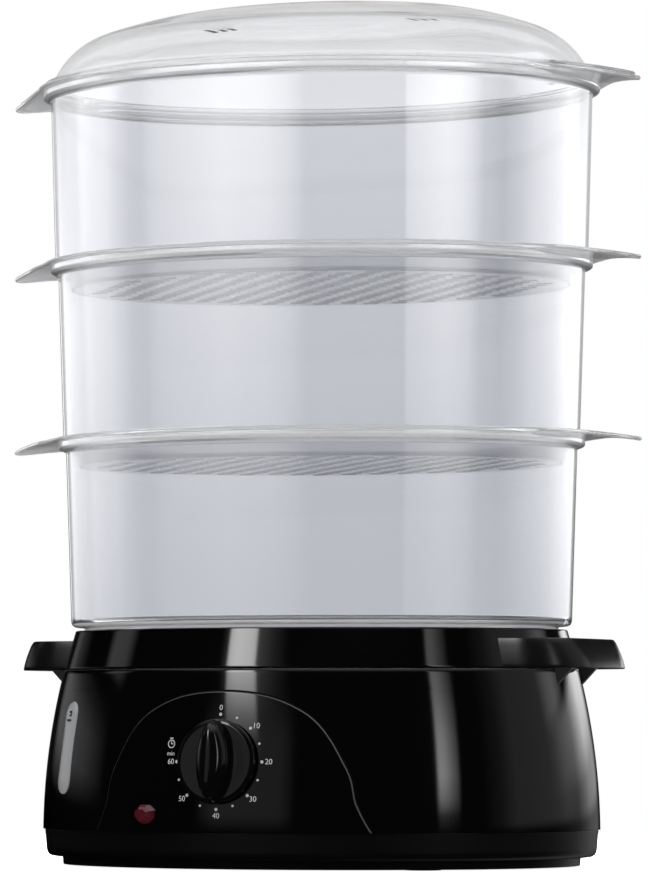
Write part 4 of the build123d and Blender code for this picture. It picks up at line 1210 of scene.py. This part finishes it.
def flat_line(points, width):
    """A line of small bars in the plane of the panel, in millimetres."""
    mesh = bpy.data.meshes.new("line")
    corners, faces = [], []
    for start, end in zip(points, points[1:]):
        along = (Vector(end) - Vector(start)).normalized() * width / 2
        aside = Vector((-along.y, along.x))
        base = len(corners)
        ends = (Vector(start) - along, Vector(end) + along)
        for spot in (ends[0] - aside, ends[1] - aside, ends[1] + aside, ends[0] + aside):
            corners += [(spot.x, -INK, spot.y), (spot.x, INK, spot.y)]
        ring = [base, base + 2, base + 4, base + 6]
        faces.append(tuple(ring))
        faces.append(tuple(i + 1 for i in reversed(ring)))
        faces += [(ring[i], ring[i] + 1, ring[(i + 1) % 4] + 1, ring[(i + 1) % 4]) for i in range(4)]
    mesh.from_pydata(corners, [], faces)
    return mesh


def printed(name, meshes, finish, laid):
    """Flat printing laid on a curved face, which is given as a rule, as one thin piece."""
    shape = bmesh.new()
    for mesh in meshes:
        shape.from_mesh(mesh)
    for vertex in shape.verts:
        x, y, z = vertex.co
        vertex.co = Vector(laid(x, z, INK_LIFT + INK - y)) * MM
    bmesh.ops.recalc_face_normals(shape, faces=shape.faces)
    return finished(name, shape, [finish])


def dial_place(degrees_round, radius):
    """A place round the dial, clockwise from the top."""
    turn = radians(degrees_round)
    return (radius * sin(turn), DIAL_Z + radius * cos(turn))


DOTS = 13
DOT_STEP = 22.5
DOT_RADII = (0.72, 0.55)
marks = []
for step in range(DOTS):
    marks.append(flat_dot(*dial_place(step * DOT_STEP, DOT_CIRCLE), DOT_RADII[step % 2]))
NUMBER_HEIGHT = 2.5
for number, turn, reach_x, reach_z in (
    ("0", 0, 0.0, 2.9),
    ("10", 45, 2.6, 1.0),
    ("20", 90, 3.1, 0.0),
    ("30", 135, 2.6, -1.6),
    ("40", 180, 0.0, -2.9),
    ("50", 225, -2.6, -1.6),
    ("60", 270, -3.1, 0.0),
):
    x, z = dial_place(turn, DOT_CIRCLE)
    marks.append(flat_text(number, x + reach_x, z + reach_z, NUMBER_HEIGHT))
MARK_X = -24.3
MINUTES_Z = 51.9
CLOCK_Z = 56.2
CLOCK_RADIUS = 1.7
CLOCK_SIDES = 16
MINUTES_HEIGHT = 2.0
marks.append(flat_text("min", MARK_X, MINUTES_Z, MINUTES_HEIGHT))
turns = [2 * pi * i / CLOCK_SIDES for i in range(CLOCK_SIDES + 1)]
clock_ring = [(MARK_X + CLOCK_RADIUS * cos(turn), CLOCK_Z + CLOCK_RADIUS * sin(turn)) for turn in turns]
hands = ((MARK_X, CLOCK_Z + 1.0), (MARK_X, CLOCK_Z), (MARK_X + 0.8, CLOCK_Z))
button = ((MARK_X - 0.6, CLOCK_Z + 2.5), (MARK_X + 0.6, CLOCK_Z + 2.5))
marks += [flat_line(clock_ring, 0.4), flat_line(hands, 0.35), flat_line(button, 0.5)]
dial_scale = printed("dial_scale", marks, print_white, on_panel)
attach(dial_scale, "base")

# ---------------------------------------------------------------------------------------------
# Timer knob: a glossy black moulding, a round dished skirt with a raised finger ridge across it,
# pressed on the timer's shaft from the front.
# ---------------------------------------------------------------------------------------------
KNOB_RADIUS = 19.0
KNOB_HEIGHT = 12.0
RIDGE_HALF_LENGTH = 18.5
RIDGE_HALF_WIDTH = 7.9
RIDGE_ROOT = 2.0
RIDGE_WAIST = 0.62  # how full the ridge is in plan, down its length and across
RIDGE_FLAT = 0.5
RIDGE_CROWN = 0.85
knob_black = black_moulding("knob_black", 0.002, 0.06, 900.0, 0.00001)


def front_frame(x, height):
    """A spot on the housing's front and its own directions: the spot, right, up and out."""
    turn = asin(x / (housing_radius(height) + SIDE_SHIFT))
    lean = wall_lean(height)
    out = Vector((sin(turn) * cos(lean), -cos(turn) * cos(lean), sin(lean)))
    right = Vector((cos(turn), sin(turn), 0))
    return Vector(front_spot(x, height)), right, out.cross(right), out


def off_front(frame, across, up, out):
    """A point given in a spot's own directions, in millimetres."""
    return tuple(frame[0] + frame[1] * across + frame[2] * up + frame[3] * out)


dial_frame = front_frame(0.0, DIAL_Z)


def lathe_rows(line, steps=96):
    """Rows round the dial's axis from a line of (radius, height above the panel)."""
    turns = [2 * pi * i / steps for i in range(steps + 1)]
    return [[off_front(dial_frame, r * cos(turn), r * sin(turn), h) for turn in turns] for r, h in line]


def ridge_rows(steps_along=40, steps_across=28):
    """The finger ridge as rows across it from one end to the other, rounded over and sunk at its ends."""
    rows = []
    for i in range(steps_along + 1):
        along = -cos(pi * i / steps_along)
        half_width = RIDGE_HALF_WIDTH * max(0.0, 1 - along**2) ** RIDGE_WAIST
        rise = (KNOB_HEIGHT - RIDGE_ROOT) * max(0.0, 1 - along**6) ** RIDGE_FLAT
        row = []
        for k in range(steps_across + 1):
            turn = pi * k / steps_across
            across = half_width * cos(turn)
            out = RIDGE_ROOT + rise * sin(turn) ** RIDGE_CROWN
            row.append(off_front(dial_frame, across, along * RIDGE_HALF_LENGTH, out))
        rows.append(row)
    return rows


skirt_line = rounded(
    (
        (0.0, 0.6, 0),
        (KNOB_RADIUS, 0.6, 0.25),
        (KNOB_RADIUS, 2.3, 0.7),
        (KNOB_RADIUS - 2.0, 2.9, 0.8),
        (11.0, 2.75, 4.0),
        (0.0, 2.7, 0),
    )
)
knob_skirt = moulded("knob_skirt", knob_black, lathe_rows(skirt_line))
ridge = ridge_rows()
ridge_under = [[row[0], row[-1]] for row in ridge]
knob_ridge = moulded("knob_ridge", knob_black, ridge, ridge_under, sharp=60)
timer_knob = joined("timer_knob_black", knob_skirt, knob_ridge)
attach(timer_knob, "timer_knob")
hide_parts("timer_knob")

# ---------------------------------------------------------------------------------------------
# Pilot lamp: a dark red lens of tinted plastic, eight-sided and faceted, that clips into the panel
# from the front and covers the neon lamp.
# ---------------------------------------------------------------------------------------------
LAMP_X, LAMP_Z = -37.5, 24.9
LAMP_RADIUS = 4.5
LAMP_STRETCH = 1.34  # wider than it is high
red_lens = plain_paint("red_lens", (0.055, 0.0035, 0.010), 0.2, 0.0, 0.3, 500.0)
red_shader = red_lens.node_tree.nodes["Principled BSDF"]
feed(red_lens.node_tree, red_shader, {"Coat Weight": 0.6, "Coat Roughness": 0.08})
lamp_frame = front_frame(LAMP_X, LAMP_Z)


def lamp_ring(radius, out, sides, turn=0.0):
    """A ring of the lens with a number of corners, at a height above the panel."""
    angles = [2 * pi * i / sides + turn for i in range(sides + 1)]
    wide = radius * LAMP_STRETCH
    return [off_front(lamp_frame, wide * cos(angle), radius * sin(angle), out) for angle in angles]


FACETS = 8
lens_rows = [
    lamp_ring(radius, out, FACETS, pi / FACETS)
    for radius, out in (
        (LAMP_RADIUS, -1.0),
        (LAMP_RADIUS, 0.6),
        (LAMP_RADIUS - 0.3, 1.0),
        (LAMP_RADIUS - 1.1, 2.3),
        (LAMP_RADIUS - 2.3, 3.1),
    )
]
lens_caps = (lens_rows[0][:-1], lens_rows[-1][:-1])
lamp_lens = moulded("lamp_lens_red", red_lens, lens_rows, caps=lens_caps, sharp=12)
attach(lamp_lens, "base")
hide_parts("lamp_lens")

# ---------------------------------------------------------------------------------------------
# Water window: a long round-ended sight glass of pale translucent plastic in the left of the wall,
# with two level marks.
# ---------------------------------------------------------------------------------------------
WINDOW_TURN = radians(39.4)
WINDOW_Z = 54.2
WINDOW_HEIGHT = 42.1
WINDOW_WIDTH = 12.6
WINDOW_PROUD = 0.5
window_glass = plain_paint("window_glass", (0.24, 0.243, 0.25), 0.14, 0.0, 0.05, 120.0)


def on_wall(across, height, out):
    """A point on the wall near the window, across it and up it, in millimetres."""
    reach = housing_radius(height) + SIDE_SHIFT + out
    turn = -WINDOW_TURN + across / reach
    if -turn > pi / 2 - JOIN:
        end = housing_radius(height) + END_SHIFT + out
        past = -turn - (pi / 2 - JOIN)
        heading = pi + JOIN - past * reach / end
        return (-END_CENTRE + end * cos(heading), end * sin(heading), height)
    return (reach * sin(turn), SIDE_CENTRE - reach * cos(turn), height)


def slot_ring(inset, out, steps=14):
    """The window's round-ended outline, moved in and out of the wall."""
    half = WINDOW_WIDTH / 2 - inset
    straight = WINDOW_HEIGHT / 2 - WINDOW_WIDTH / 2
    turns = [pi * i / steps for i in range(steps + 1)]
    ring = [(half * cos(turn), WINDOW_Z + straight + half * sin(turn)) for turn in turns]
    ring += [(-half * cos(turn), WINDOW_Z - straight - half * sin(turn)) for turn in turns]
    return [on_wall(a, z, out) for a, z in ring + ring[:1]]


WINDOW_CROWN = 0.9
WINDOW_EDGE = 0.35
WINDOW_ROOT = -0.6
window_rows = [slot_ring(0.0, WINDOW_ROOT), slot_ring(0.0, WINDOW_PROUD - WINDOW_EDGE)]
for inset in (WINDOW_EDGE, 1.2, 2.2, 3.4, 4.8, 6.0, 6.29):
    across = (WINDOW_WIDTH / 2 - inset) / (WINDOW_WIDTH / 2)
    window_rows.append(slot_ring(inset, WINDOW_PROUD + WINDOW_CROWN * (1 - across**2)))
window = moulded("water_window_pale", window_glass, window_rows)
level_ink = plain_paint("level_ink", (0.02, 0.02, 0.022), 0.5)
upper_mark = flat_line(((0.2, 70.6), (2.2, 70.6), (2.2, 69.0), (0.6, 69.0)), 0.7)
lower_mark = flat_line(((-1.0, 66.8), (2.2, 66.8)), 0.9)
level_marks = printed(
    "level_marks",
    [upper_mark, lower_mark],
    level_ink,
    lambda across, height, out: on_wall(across, height, WINDOW_PROUD + WINDOW_CROWN + out),
)
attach(level_marks, "base")
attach(window, "base")
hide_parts("water_window")

# ---------------------------------------------------------------------------------------------
# Bottom shell: the satin black band under the housing, rounded in to the plinth and the slotted
# floor that carries the electrical parts.
# ---------------------------------------------------------------------------------------------
BAND = 119.4
FLOOR_BOTTOM = 4.5
FLOOR_TOP = 6.7
PLINTH = 111.0
PLINTH_BOTTOM = 0.6
SHELL_WALL = 2.4
shell_rows = swept(
    (
        (PLINTH - SHELL_WALL, FLOOR_BOTTOM, 0),
        (PLINTH - SHELL_WALL, PLINTH_BOTTOM, 0.3),
        (PLINTH, PLINTH_BOTTOM, 0.6),
        (PLINTH + 0.3, FLOOR_BOTTOM, 0.4),
        (BAND - 1.0, FLOOR_BOTTOM, 5.5),
        (BAND, HOUSING_BOTTOM, 0.4),
        (BAND - SHELL_WALL, HOUSING_BOTTOM, 0),
        (BAND - SHELL_WALL, FLOOR_TOP, 1.5),
        (PLINTH - SHELL_WALL, FLOOR_TOP, 0),
    )
)
shell_wall = moulded("shell_wall", satin_black, shell_rows + shell_rows[:1])
shell_floor = grown(
    "shell_floor",
    outline_mesh("shell_floor", oval_row(PLINTH - 1.5, FLOOR_BOTTOM)),
    slotted_plate_tree(satin_black),
    pitch_x=0.009,
    pitch_y=0.034,
    slot_length=0.003,
    slot_width=0.024,
    field_half_length=0.030,
    field_half_width=0.045,
    thickness=(FLOOR_TOP - FLOOR_BOTTOM) * MM,
    bottom=FLOOR_BOTTOM * MM,
)
bottom_shell = joined("bottom_shell_satin", shell_wall, shell_floor)
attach(bottom_shell, "base")
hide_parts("bottom_shell")

# ---------------------------------------------------------------------------------------------
# Feet, gland and the parts inside: rubber, nylon, zinc-plated steel, ceramic and silicone, each
# kept as it stands and given its own finish.
# ---------------------------------------------------------------------------------------------
zinc_plate = plain_paint("zinc_plate", (0.55, 0.56, 0.57), 0.30, 1.0, 0.10, 400.0)
KEPT = (
    (plain_paint("black_rubber", (0.02, 0.02, 0.02), 0.8), "feet"),
    (plain_paint("grey_silicone", (0.42, 0.42, 0.40), 0.6), "window_seal heater_gasket"),
    (black_moulding("tank_black", 0.012, 0.45, 2200.0, 0.00006), "water_tank"),
    (plain_paint("ring_grey", (0.60, 0.60, 0.58), 0.45), "steam_ring"),
    (plain_paint("cast_metal", (0.52, 0.52, 0.51), 0.38, 1.0, 0.08, 160.0), "heater_plate"),
    (plain_paint("element_steel", (0.34, 0.32, 0.30), 0.42, 1.0, 0.15, 90.0), "heater_element"),
    (zinc_plate, "housing_screws heater_clamps heater_screws timer_screws"),
    (zinc_plate, "thermostat_strap timer_shaft timer_bell"),
    (plain_paint("white_ceramic", (0.74, 0.73, 0.69), 0.5), "thermostat thermal_fuse neon_lamp"),
    (plain_paint("white_nylon", (0.72, 0.72, 0.70), 0.45), "timer_body lamp_holder terminal_block"),
    (satin_black, "cord_gland gland_nut"),
    (plain_paint("silicone_sleeve", (0.62, 0.61, 0.57), 0.6), "inner_leads"),
)
for finish, nodes in KEPT:
    for node in nodes.split():
        slots = frame["nodes"][node].data.materials
        if len(slots) == 0:
            slots.append(finish)
        for index in range(len(slots)):
            slots[index] = finish
